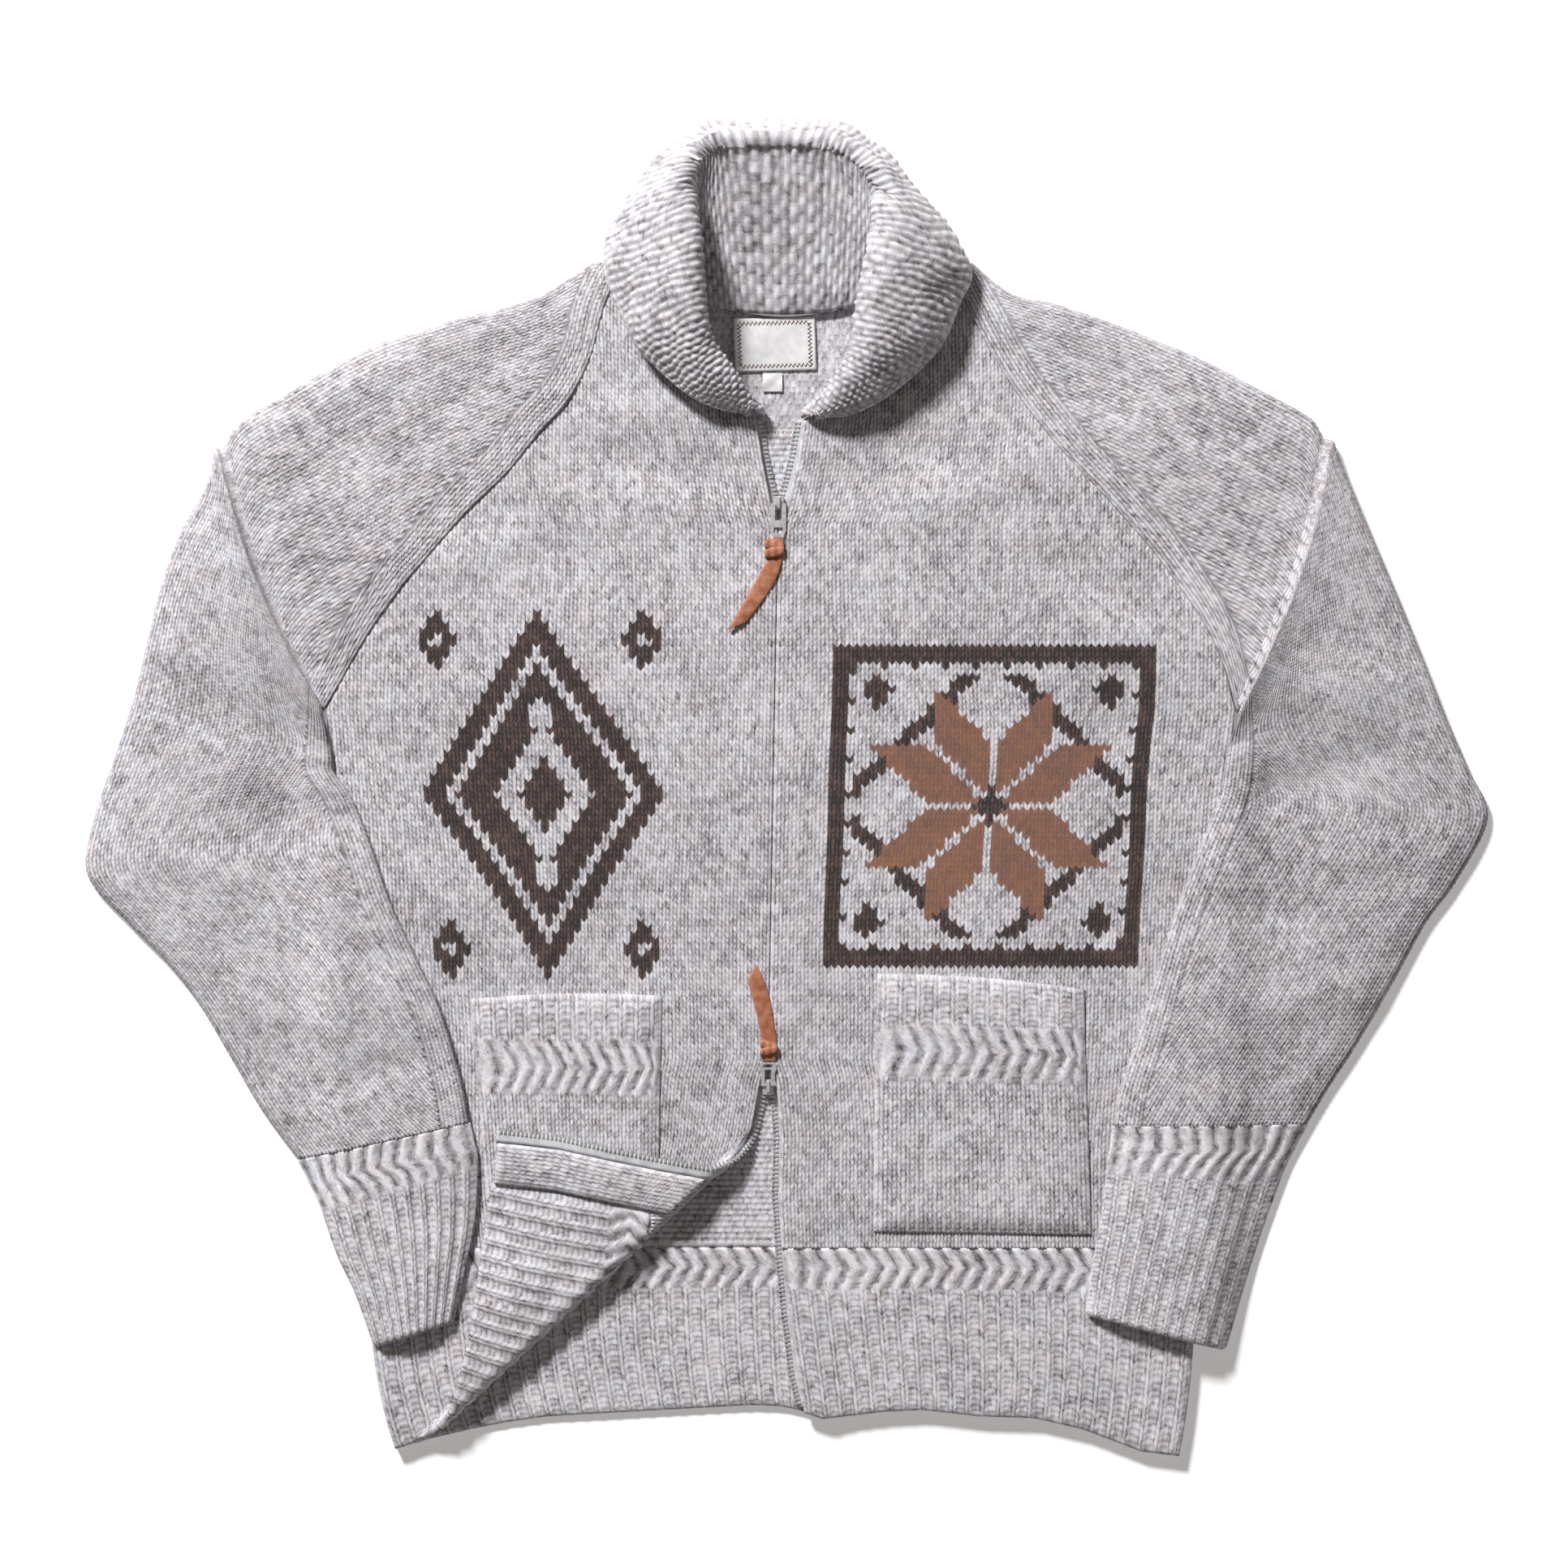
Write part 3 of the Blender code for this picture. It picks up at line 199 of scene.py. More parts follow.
def mix(a: Array, b: Array, t: Array) -> Array:
    """Straight blend from a to b."""
    return a + (b - a) * t


def line_at(table: Table, key: Array, key_column: int = 1, value_column: int = 0) -> Array:
    """Values at the keys on a line of points sorted by their key column."""
    return np.interp(key, [row[key_column] for row in table], [row[value_column] for row in table])


def catmull(points: Array, position: Array) -> Array:
    """Smooth curve through the points.

    Args:
        points: Knots along the first axis.
        position: Places on the curve, counted in knots.

    Returns:
        The curve's values at those places.
    """
    last = len(points) - 1
    i = np.minimum(position.astype(int), last - 1)
    t = (position - i).reshape((-1,) + (1,) * (points.ndim - 1))
    p0, p1 = points[np.maximum(i - 1, 0)], points[i]
    p2, p3 = points[i + 1], points[np.minimum(i + 2, last)]
    return 0.5 * (2.0 * p1 + (p2 - p0) * t + (2.0 * p0 - 5.0 * p1 + 4.0 * p2 - p3) * t * t
                  + (3.0 * p1 - p0 - 3.0 * p2 + p3) * t ** 3)


def past_fold(u: Array, v: Array) -> Array:
    """How far pattern points lie past the start of the roll."""
    return u * FOLD_ACROSS[0] + v * FOLD_ACROSS[1] - FOLD_AXIS


def flap_swell(u: Array, v: Array) -> Array:
    """Height that the folded corner gains where the cloth bellies up.

    Args:
        u: Drawing u of each point.
        v: Drawing v of each point.

    Returns:
        Rise of the folded corner over its flat lay, in metres.
    """
    past = past_fold(u, v)
    ripple = 0.0011 * np.sin(v / 26.0 + u / 61.0) + 0.0008 * np.sin(u / 23.0 - v / 47.0)
    belly = 0.0016 * np.exp(-((past - 84.0) / 46.0) ** 2)
    return (ripple + belly) * ease(FOLD_ARC - 6.0, FOLD_ARC + 40.0, past)


def folded(u: Array, v: Array, height: Array) -> Array:
    """World points of the right front's pattern; height is measured to its outer face.

    Args:
        u: Drawing u of each point.
        v: Drawing v of each point.
        height: Height to the outer face, in metres.

    Returns:
        World points along the last axis.
    """
    past = past_fold(u, v)
    radius = FOLD_RADIUS - height
    angle = np.clip(past / FOLD_ARC, 0.0, 1.0) * math.pi
    on_roll = FOLD_AXIS + radius * np.sin(angle) / UNIT
    across = np.where(past <= 0.0, FOLD_AXIS + past,
                      np.where(past < FOLD_ARC, on_roll, FOLD_AXIS - (past - FOLD_ARC)))
    along = u * FOLD_ALONG[0] + v * FOLD_ALONG[1]
    z = FRONT_BASE + FOLD_RADIUS - radius * np.cos(angle) + flap_swell(u, v)
    return place(FOLD_ACROSS[0] * across + FOLD_ALONG[0] * along,
                 FOLD_ACROSS[1] * across + FOLD_ALONG[1] * along, z)


def flat_front(u: Array, v: Array, height: Array) -> Array:
    """World points of cloth that lies on the back."""
    return place(u, v, FRONT_BASE + height)


def flat_back(u: Array, v: Array, height: Array) -> Array:
    """World points of cloth that lies on the surface itself."""
    return place(u, v, height)


def flap_fade(v: Array) -> Array:
    """The raise over the zip tape runs out where the corner starts to fold."""
    return np.clip((1470.0 - v) / 70.0, 0.0, 1.0)


def zip_raise(u: Array, v: Array, edge: Table) -> Array:
    """Height that a front gains over its zip tape."""
    over = ease(58.0, 24.0, np.abs(u - line_at(edge, v)))
    return np.where(v < 514.0, 0.0, ZIP_RAISE * over)


def right_raise(u: Array, v: Array) -> Array:
    """Raise of the right front over its tape."""
    return zip_raise(u, v, RIGHT_ZIP_EDGE) * flap_fade(v)


def left_raise(u: Array, v: Array) -> Array:
    """Raise of the left front over its tape."""
    return zip_raise(u, v, LEFT_ZIP_EDGE)


# Soft troughs and ridges: ends (u, v, u, v), half width in drawing units, height in metres
RIGHT_CREASES = (
    (700, 560, 880, 585, 34, -0.0011), (800, 610, 930, 640, 26, 0.0009),
    (640, 520, 760, 470, 22, -0.0008), (560, 700, 640, 660, 26, 0.0008),
    (430, 900, 520, 960, 30, -0.0010), (440, 1010, 520, 1120, 34, 0.0009),
    (600, 640, 700, 690, 30, -0.0007), (880, 700, 900, 860, 28, -0.0006),
    (840, 1120, 880, 1300, 32, 0.0008), (470, 1180, 560, 1260, 30, -0.0009),
    (840, 900, 870, 1040, 26, 0.0005),
)
LEFT_CREASES = (
    (1010, 590, 1140, 560, 30, -0.0009), (1150, 620, 1260, 580, 26, 0.0008),
    (1180, 440, 1240, 520, 22, -0.0008), (1300, 690, 1390, 740, 30, -0.0009),
    (1440, 880, 1500, 960, 30, -0.0011), (1390, 960, 1480, 1060, 34, 0.0008),
    (1000, 700, 1030, 800, 28, 0.0006), (1010, 1240, 1040, 1420, 30, -0.0008),
    (1380, 1180, 1450, 1330, 32, 0.0008), (1200, 640, 1320, 800, 40, 0.0007),
    (1000, 1480, 1060, 1500, 24, 0.0006),
)
SLEEVE_CREASES = {
    Side.RIGHT: (
        (640, 420, 540, 520, 26, -0.0012), (560, 400, 430, 480, 22, 0.0010),
        (420, 560, 330, 640, 30, -0.0013), (470, 700, 370, 800, 30, 0.0010),
        (330, 900, 200, 850, 34, -0.0011), (250, 700, 210, 800, 26, 0.0011),
        (430, 1010, 300, 1000, 32, -0.0014), (300, 1080, 180, 1060, 30, 0.0012),
        (470, 1180, 380, 1160, 24, -0.0010), (400, 1260, 300, 1240, 26, 0.0011),
        (530, 1300, 440, 1330, 22, -0.0010), (350, 1360, 420, 1400, 22, 0.0008),
    ),
    Side.LEFT: (
        (1280, 420, 1380, 470, 24, -0.0012), (1400, 520, 1520, 600, 26, 0.0011),
        (1340, 560, 1430, 640, 26, -0.0009), (1460, 660, 1560, 700, 28, -0.0012),
        (1580, 850, 1720, 840, 32, 0.0010), (1560, 980, 1700, 930, 30, -0.0014),
        (1640, 1060, 1780, 1040, 30, 0.0011), (1480, 1120, 1600, 1130, 28, -0.0012),
        (1560, 1240, 1680, 1220, 26, 0.0010), (1420, 1290, 1500, 1320, 22, -0.0009),
        (1520, 1370, 1590, 1340, 20, 0.0007), (1680, 700, 1740, 800, 24, -0.0008),
    ),
}


def creased(creases: Table, u: Array, v: Array) -> Array:
    """Height of the creases at drawing points.

    Args:
        creases: Rows of ends, half width and height.
        u: Drawing u of each point.
        v: Drawing v of each point.

    Returns:
        Height at each point, in metres.
    """
    total = np.zeros(np.broadcast(u, v).shape)
    for u0, v0, u1, v1, width, height in creases:
        du, dv = u1 - u0, v1 - v0
        t = np.clip(((u - u0) * du + (v - v0) * dv) / (du * du + dv * dv), 0.0, 1.0)
        distance2 = (u - u0 - du * t) ** 2 + (v - v0 - dv * t) ** 2
        total += height * np.exp(-distance2 / width ** 2)
    ripple = np.sin(u / 57.0 + v / 91.0) * np.sin(v / 73.0 - u / 133.0 + 1.0)
    return 1.7 * total + 0.0006 * ripple


class Knitted:
    """A mesh of stitches: points with their stitch coordinates, and faces with their yarn."""

    def __init__(self) -> None:
        """Starts empty."""
        self.points: list[Array] = []
        self.stitches: list[Array] = []
        self.hollows: list[Array] = []
        self.quads: list[Array] = []
        self.triangles: list[Array] = []
        self.count = 0

    def add(self, points: Array, s: Array, t: Array, hollow: Array) -> Array:
        """Adds points.

        Args:
            points: World points, with x, y and z along the last axis.
            s: Wale coordinate of each point.
            t: Course coordinate of each point.
            hollow: 1 in the gaps between the yarns, 0 on top of them; the wool's material paints shade by it.

        Returns:
            Their indices, in the shape of the points.
        """
        shape = points.shape[:-1]
        s, t, hollow = (np.broadcast_to(a, shape).ravel() for a in (s, t, hollow))
        self.points.append(points.reshape(-1, 3))
        self.stitches.append(np.stack([s, t], axis=1))
        self.hollows.append(hollow)
        ids = np.arange(self.count, self.count + s.size).reshape(shape)
        self.count += s.size
        return ids

    def join(self, a: Array, b: Array) -> None:
        """Faces between two neighbouring lines of points; the longer one ends in a fan.

        Args:
            a: Indices of one line.
            b: Indices of the next line.
        """
        m = min(len(a), len(b))
        self.quads.append(np.stack([a[:m - 1], b[:m - 1], b[1:m], a[1:m]], axis=1))
        longer, shorter = (a, b) if len(a) > len(b) else (b, a)
        if len(longer) > m:
            apex = np.full(len(longer) - m, shorter[m - 1])
            self.triangles.append(np.stack([longer[m - 1:-1], apex, longer[m:]], axis=1))

    def grid(self, ids: Array) -> None:
        """Faces over a full grid of points."""
        for a, b in zip(ids, ids[1:]):
            self.join(a, b)

    def bridge(self, a: Array, b: Array, a_at: Array, b_at: Array) -> None:
        """Triangles between two lines of different counts.

        Args:
            a: Indices of the first line.
            b: Indices of the second line.
            a_at: Place of each point of a along the line, rising.
            b_at: The same for b.
        """
        i = j = 0
        faces = []
        while i < len(a) - 1 or j < len(b) - 1:
            if j == len(b) - 1 or (i < len(a) - 1 and a_at[i + 1] <= b_at[j + 1]):
                faces.append((a[i], b[j], a[i + 1]))
                i += 1
            else:
                faces.append((a[i], b[j], b[j + 1]))
                j += 1
        self.triangles.append(np.array(faces))

    def back_grid(self, top: Array, inner: Array, s: Array, t: Array, step: int) -> None:
        """Coarse inner face under a full grid, joined to it round the rim.

        Args:
            top: Indices of the fine face.
            inner: Points of the inner face, one for each of these.
            s: Their wale coordinates.
            t: Their course coordinates.
            step: How many rows and columns each coarse cell spans.
        """
        s, t = (np.broadcast_to(a, top.shape) for a in (s, t))
        r, c = (np.unique(np.append(np.arange(0, n, step), n - 1)) for n in top.shape)
        pick = np.ix_(r, c)
        ids = self.add(inner[pick], s[pick], t[pick], COARSE)
        self.grid(ids)
        across, down = np.arange(top.shape[1]), np.arange(top.shape[0])
        for edge in (0, -1):
            self.bridge(top[edge], ids[edge], across, c)
            self.bridge(top[:, edge], ids[:, edge], down, r)

    def back_outline(self, loop: Array, spots: Array, interior: Array,
                     inner: Callable[[Array, Array], Array],
                     stitch: Callable[[Array, Array], tuple[Array, Array]]) -> None:
        """Inner face of triangles inside a closed line, joined to it by a wall.

        Args:
            loop: Indices of the fine face's outline.
            spots: Drawing points of the outline.
            interior: Drawing points inside it.
            inner: World points of the inner face at drawing points.
            stitch: Wale and course coordinates at drawing points.
        """
        every = np.concatenate([spots, interior])
        u, v = every[:, 0], every[:, 1]
        ids = self.add(inner(u, v), *stitch(u, v), COARSE)
        edge = ids[:len(spots)]
        self.join(np.append(loop, loop[0]), np.append(edge, edge[0]))
        mesh = delaunay_2d_cdt([Vector(p) for p in every.tolist()], [], [list(range(len(spots)))], 1, 1e-5)
        origin = np.array([found[0] if found else 0 for found in mesh[3]])
        self.triangles.append(ids[origin[np.array(mesh[2])]])

    def build(self, name: str, finish: bpy.types.Material,
              yarn: Callable[[Array, Array], Array] | None = None) -> bpy.types.Object:
        """Makes the object.

        Args:
            name: Name of the piece.
            finish: Its material.
            yarn: Yarn number at wale and course coordinates, or None for plain cloth.

        Returns:
            The finished piece.
        """
        points = np.concatenate(self.points)
        stitches = np.concatenate(self.stitches)
        quads = np.concatenate(self.quads) if self.quads else np.zeros((0, 4), int)
        triangles = np.concatenate(self.triangles) if self.triangles else np.zeros((0, 3), int)
        data = bpy.data.meshes.new(name + "_cloth")
        data.from_pydata(points.tolist(), [], quads.tolist() + triangles.tolist())
        corners = np.zeros(len(data.loops), np.int32)
        data.loops.foreach_get("vertex_index", corners)
        stitch_map = data.uv_layers.new(name="stitches")
        stitch_map.data.foreach_set("uv", stitches[corners].astype(np.float32).ravel())
        # The hollow attribute sets the painted shade between the yarns in the wool's material.
        hollow = data.attributes.new("hollow", "FLOAT", "POINT")
        hollow.data.foreach_set("value", np.concatenate(self.hollows).astype(np.float32))
        colour = data.attributes.new("yarn", "FLOAT", "FACE")
        if yarn is not None:
            centres = np.concatenate([stitches[quads].mean(axis=1), stitches[triangles].mean(axis=1)])
            values = yarn(centres[:, 0], centres[:, 1])
            colour.data.foreach_set("value", values.astype(np.float32))
        data.polygons.foreach_set("use_smooth", np.ones(len(data.polygons), bool))
        data.materials.append(finish)
        shape = bmesh.new()
        shape.from_mesh(data)
        bmesh.ops.recalc_face_normals(shape, faces=shape.faces[:])
        shape.to_mesh(data)
        shape.free()
        item = bpy.data.objects.new(name + "_cloth", data)
        bpy.context.scene.collection.objects.link(item)
        return item


def along(points: Array) -> Array:
    """Places of the points along their line, from 0 to 1.

    Args:
        points: World points in order.

    Returns:
        Share of the whole length at each point, from 0 to 1.
    """
    steps = np.linalg.norm(np.diff(points, axis=0), axis=1)
    total = np.concatenate([[0.0], np.cumsum(steps)])
    return total / total[-1]


def rim(grid: Array) -> Array:
    """The four sides of a grid as one closed line, back to its start."""
    return np.concatenate([grid[0, :], grid[1:, -1], grid[-1, -2::-1], grid[-2::-1, 0]])


def area_of(outline: Array) -> float:
    """Area inside an outline in drawing units, in square metres."""
    u, v = outline[:, 0], outline[:, 1]
    return abs(float(np.sum(u * np.roll(v, -1) - v * np.roll(u, -1)))) / 2.0 * UNIT * UNIT


def plain_relief(s: Array, t: Array) -> tuple[Array, Array]:
    """Relief of plain knit: two slanted legs to a stitch.

    Args:
        s: Wale coordinates.
        t: Course coordinates, already slanted with the legs.

    Returns:
        Height from 0 to 1 and hollow from 0 to 1.
    """
    leg = np.abs(np.sin(2.0 * math.pi * s))
    bead = 0.5 - 0.5 * np.cos(2.0 * math.pi * t)
    height = leg * (0.55 + 0.45 * bead)
    return height, 1.0 - leg * (0.35 + 0.65 * bead)


def purl_relief(s: Array, t: Array) -> tuple[Array, Array]:
    """Relief of the knit's other face: short bumps, set off by half a stitch in each course.

    Args:
        s: Wale coordinates.
        t: Course coordinates.

    Returns:
        Relief and hollow of each point, from 0 to 1.
    """
    course = np.floor(t)
    bump = 0.5 - 0.5 * np.cos(2.0 * math.pi * t)
    side = 0.5 + 0.5 * np.cos(2.0 * math.pi * (s + 0.5 * (course % 2)))
    height = bump * (0.45 + 0.55 * side)
    return height, 1.0 - height


def rib_relief(s: Array, t: Array, zigzag: Array) -> tuple[Array, Array]:
    """Relief of one-and-one rib; in the zigzag band its wales are thick slanted strands.

    Args:
        s: Wale coordinates.
        t: Course coordinates.
        zigzag: 1 in the zigzag band and 0 outside it.

    Returns:
        Relief and hollow of each point, from 0 to 1.
    """
    x = s - np.floor(s)
    ridge = 0.5 - 0.5 * np.cos(math.pi * (s - 0.5))
    leg = np.abs(np.sin(2.0 * math.pi * x))
    bead = 0.5 - 0.5 * np.cos(2.0 * math.pi * t)
    knit = np.where(np.floor(s) % 2 == 1, 0.45 + 0.55 * leg * (0.45 + 0.55 * bead), 0.35 * bead)
    height = mix(0.35 * ridge + 0.65 * knit, 0.8 * ridge + 0.2 * bead * leg, zigzag)
    purl = 0.80 - 0.45 * bead
    plain = 0.95 - leg * (0.35 + 0.60 * bead)
    hollow = mix(np.where(np.floor(s) % 2 == 1, plain, purl), 0.95 - ridge * (0.65 + 0.3 * bead), zigzag)
    return height, hollow


def chevron(s: Array) -> Array:
    """How far a course rises towards the sides of each wale, from 0 to 1."""
    return np.abs(2.0 * (s - np.floor(s)) - 1.0)


def dip(s: Array) -> Array:
    """How far a course drops towards the middle of each wale, from 0 to 1."""
    return 1.0 - chevron(s + WALE_NUDGE)


# Finishes

class Graph:
    """Short ways to add and join shader nodes of one material."""

    def __init__(self, name: str) -> None:
        """Makes the material with its shader.

        Args:
            name: Name of the material.
        """
        self.material = bpy.data.materials.new(name)
        self.material.use_nodes = True
        self.nodes = self.material.node_tree.nodes
        self.links = self.material.node_tree.links
        self.shader = self.nodes["Principled BSDF"]

    def feed(self, socket: bpy.types.NodeSocket, value: object) -> None:
        """Sets a socket to a constant or links an output to it.

        Args:
            socket: Input to set.
            value: A socket to link, or a plain value.
        """
        if isinstance(value, bpy.types.NodeSocket):
            self.links.new(value, socket)
        else:
            socket.default_value = value

    def node(self, kind: str, inputs: dict[object, object], **settings: object) -> bpy.types.Node:
        """Adds a node.

        Args:
            kind: Type of the node, without its prefix.
            inputs: Constants or outputs by input name or place.
            settings: Properties of the node.

        Returns:
            The new node.
        """
        new = self.nodes.new("ShaderNode" + kind)
        for key, value in settings.items():
            setattr(new, key, value)
        for key, value in inputs.items():
            self.feed(new.inputs[key], value)
        return new

    def math(self, operation: str, a: object, b: object = 0.0, c: object = 0.0) -> bpy.types.NodeSocket:
        """Result of one step of arithmetic on one to three values."""
        return self.node("Math", {0: a, 1: b, 2: c}, operation=operation).outputs[0]

    def plus(self, a: object, b: object) -> bpy.types.NodeSocket:
        """Sum of two values."""
        return self.math("ADD", a, b)

    def minus(self, a: object, b: object) -> bpy.types.NodeSocket:
        """Difference of two values."""
        return self.math("SUBTRACT", a, b)

    def times(self, a: object, b: object) -> bpy.types.NodeSocket:
        """Product of two values."""
        return self.math("MULTIPLY", a, b)

    def coat(self, **values: object) -> None:
        """Sets inputs of the shader, named in small letters with underscores."""
        for name, value in values.items():
            self.feed(self.shader.inputs[name.replace("_", " ").title()], value)

    def noise(self, scale: float, detail: float, vector: object, name: str = "Fac") -> bpy.types.NodeSocket:
        """Soft noise at a scale."""
        inputs = {"Scale": scale, "Detail": detail, "Vector": vector}
        return self.node("TexNoise", inputs).outputs[name]

    def blend(self, share: object, a: object, b: object, kind: str = "MIX") -> bpy.types.NodeSocket:
        """Blend of two colours.

        Args:
            share: Share of the second value.
            a: First value.
            b: Second value.
            kind: Blend type.

        Returns:
            Socket with the blended colour.
        """
        new = self.node("Mix", {}, data_type="RGBA", blend_type=kind)
        for key, value in ((0, share), (6, a), (7, b)):
            self.feed(new.inputs[key], value)
        return new.outputs[2]

    def ramp(self, value: object, low: float, high: float, to_low: float = 0.0,
             to_high: float = 1.0) -> bpy.types.NodeSocket:
        """Value moved evenly from one range into another, held at its ends."""
        inputs = {0: value, 1: low, 2: high, 3: to_low, 4: to_high}
        return self.node("MapRange", inputs).outputs[0]

    def spot(self) -> bpy.types.NodeSocket:
        """Place on the object."""
        return self.node("TexCoord", {}).outputs["Object"]

    def bump(self, height: object, distance: float, strength: float,
             under: object | None = None) -> bpy.types.NodeSocket:
        """Bumped normal, on top of another one where given.

        Args:
            height: Height field.
            distance: Height of its full range, in metres.
            strength: Strength of the bump.
            under: Normal that it adds to, if any.

        Returns:
            Socket with the bumped normal.
        """
        new = self.node("Bump", {"Height": height, "Distance": distance, "Strength": strength})
        if under is not None:
            self.feed(new.inputs["Normal"], under)
        return new.outputs[0]


def linear(colour: tuple[int, int, int]) -> tuple[float, float, float, float]:
    """Shader colour of 8-bit screen values."""
    return (*(((c / 255.0 + 0.055) / 1.055) ** 2.4 for c in colour), 1.0)


@dataclass(frozen=True)
class KnitFinish:
    """Soft heathered wool with painted shade in the hollows between its yarns, and two colour-work yarns."""

    name: str = "grey_knit"
    light: tuple[int, int, int] = (222, 222, 231)
    warm: tuple[int, int, int] = (224, 218, 222)
    # Dark end of the wool: painted shade in the gaps between the yarns, and the darker heather tone.
    dark: tuple[int, int, int] = (76, 68, 72)
    brown: tuple[int, int, int] = (98, 74, 70)
    tan: tuple[int, int, int] = (152, 102, 70)
    cloudy: float = 0.34
    flecked: float = 0.54
    # Strength of the painted shade in the gaps between the yarns.
    hollow_shade: float = 0.62
    # Near-black painted shade in the gaps of the brown yarn.
    deepest_shade: tuple[float, float, float, float] = (0.010, 0.006, 0.006, 1.0)
    sheen: float = 0.25
    sheen_roughness: float = 0.6

    def make(self) -> bpy.types.Material:
        """Builds the material.

        Returns:
            The material.
        """
        g = Graph(self.name)
        at = g.spot()
        stitch = g.node("SeparateXYZ", {0: g.node("UVMap", {}, uv_map="stitches").outputs[0]})
        s, t = stitch.outputs[0], stitch.outputs[1]
        hollow = g.node("Attribute", {}, attribute_name="hollow").outputs["Fac"]
        rise = g.math("ABSOLUTE", g.minus(g.times(g.math("FRACT", s), 2.0), 1.0))
        slant = g.minus(t, g.times(rise, 0.7))
        leg = g.math("ABSOLUTE", g.math("SINE", g.times(s, 2.0 * math.pi)))
        bead = g.math("ABSOLUTE", g.math("SINE", g.times(slant, math.pi)))
        # On coarse faces, where hollow is below -0.5, the gaps between the yarns for the painted shade are
        # drawn from the stitch coordinates.
        coarse = g.math("LESS_THAN", hollow, -0.5)
        drawn = g.minus(1.0, g.times(leg, g.ramp(bead, 0.0, 1.0, 0.35, 1.0)))
        gap = g.plus(g.times(coarse, drawn),
                     g.times(g.minus(1.0, coarse), g.math("MAXIMUM", hollow, 0.0)))
        cell = g.node("CombineXYZ", {0: g.math("FLOOR", g.times(s, 2.0)), 1: g.math("FLOOR", t)})
        fleck = g.node("TexWhiteNoise", {"Vector": cell.outputs[0]}, noise_dimensions="2D").outputs[0]
        strand = g.node("CombineXYZ", {0: g.times(s, 2.2), 1: g.times(t, 0.6)})
        streak = g.noise(1.3, 3.0, strand.outputs[0])
        patch = g.noise(26.0, 3.0, at)
        heather = g.noise(120.0, 4.0, at)
        fibre = g.noise(1500.0, 3.0, at)
        tone = g.plus(g.times(g.minus(patch, 0.5), self.cloudy * 1.3),
                      g.times(g.minus(heather, 0.5), self.cloudy * 2.0))
        tone = g.plus(tone, g.times(g.minus(fleck, 0.5), self.flecked * 0.7))
        tone = g.plus(tone, g.times(g.minus(fibre, 0.5), self.flecked * 1.3))
        # Painted shade: shade grows towards the dark colour in the gaps between the yarns, together with the
        # wool's darker streaks; the random heather tone is taken off it.
        shade = g.plus(g.times(g.ramp(gap, 0.35, 1.0), self.hollow_shade),
                       g.times(g.ramp(streak, 0.52, 0.70), 0.34))
        shade = g.minus(g.plus(shade, 0.08), tone)
        cast = g.ramp(g.noise(75.0, 3.0, at), 0.35, 0.65)
        light = g.blend(cast, linear(self.light), linear(self.warm))
        wool = g.blend(g.ramp(shade, 0.0, 1.0), light, linear(self.dark))
        yarn = g.node("Attribute", {}, attribute_name="yarn").outputs["Fac"]
        # Painted shade: where the shade grows, mostly in the gaps between the yarns, the brown yarn turns
        # near black and the tan yarn turns brown.
        deep = g.blend(g.ramp(shade, -0.1, 0.6), linear(self.brown), self.deepest_shade)
        warm = g.blend(g.ramp(shade, -0.2, 0.9), linear(self.tan), linear(self.brown))
        wool = g.blend(g.math("GREATER_THAN", yarn, 0.5), wool, deep)
        wool = g.blend(g.math("GREATER_THAN", yarn, 1.5), wool, warm)
        g.coat(base_color=wool, roughness=g.ramp(fibre, 0.3, 0.7, 0.86, 1.0))
        drawn_bump = g.bump(g.times(coarse, g.minus(1.0, drawn)), 0.0008, 0.8)
        g.coat(normal=g.bump(fibre, 0.0005, 0.7, drawn_bump), sheen_weight=self.sheen,
               sheen_roughness=self.sheen_roughness)
        return g.material


@dataclass(frozen=True)
class LeatherFinish:
    """Soft tan leather with grain and rubbed edges."""

    name: str = "leather_thong"
    worn: tuple[int, int, int] = (186, 128, 98)
    body: tuple[int, int, int] = (142, 80, 48)

    def make(self) -> bpy.types.Material:
        """Builds the material.

        Returns:
            The material.
        """
        g = Graph(self.name)
        at = g.spot()
        grain = g.node("TexVoronoi", {"Scale": 1700.0, "Vector": at}).outputs["Distance"]
        mottle = g.noise(260.0, 4.0, at)
        rubbed = g.ramp(g.node("NewGeometry", {}).outputs["Pointiness"], 0.49, 0.56)
        tone = g.plus(g.ramp(mottle, 0.35, 0.75), g.times(rubbed, 0.5))
        g.coat(base_color=g.blend(g.ramp(tone, 0.0, 1.2), linear(self.body), linear(self.worn)),
               roughness=g.ramp(mottle, 0.3, 0.7, 0.48, 0.72), normal=g.bump(grain, 0.0002, 0.5))
        return g.material


@dataclass(frozen=True)
class MetalFinish:
    """Polished zip metal with fine scratches."""

    name: str = "zip_metal"
    colour: tuple[int, int, int] = (232, 232, 234)
    stained: tuple[int, int, int] = (132, 130, 130)
    roughness: float = 0.36
    metallic: float = 0.72

    def make(self) -> bpy.types.Material:
        """Builds the material.

        Returns:
            The material.
        """
        g = Graph(self.name)
        at = g.spot()
        stretched = g.node("Mapping", {"Vector": at, "Scale": (3000.0, 260.0, 900.0)}).outputs[0]
        scratch = g.noise(1.0, 3.0, stretched)
        stain = g.noise(420.0, 2.0, at)
        share = g.ramp(stain, 0.45, 0.75, 0.0, 0.5)
        g.coat(base_color=g.blend(share, linear(self.colour), linear(self.stained)), metallic=self.metallic,
               roughness=g.ramp(scratch, 0.3, 0.7, self.roughness, 0.45),
               normal=g.bump(scratch, 0.00005, 0.4))
        return g.material


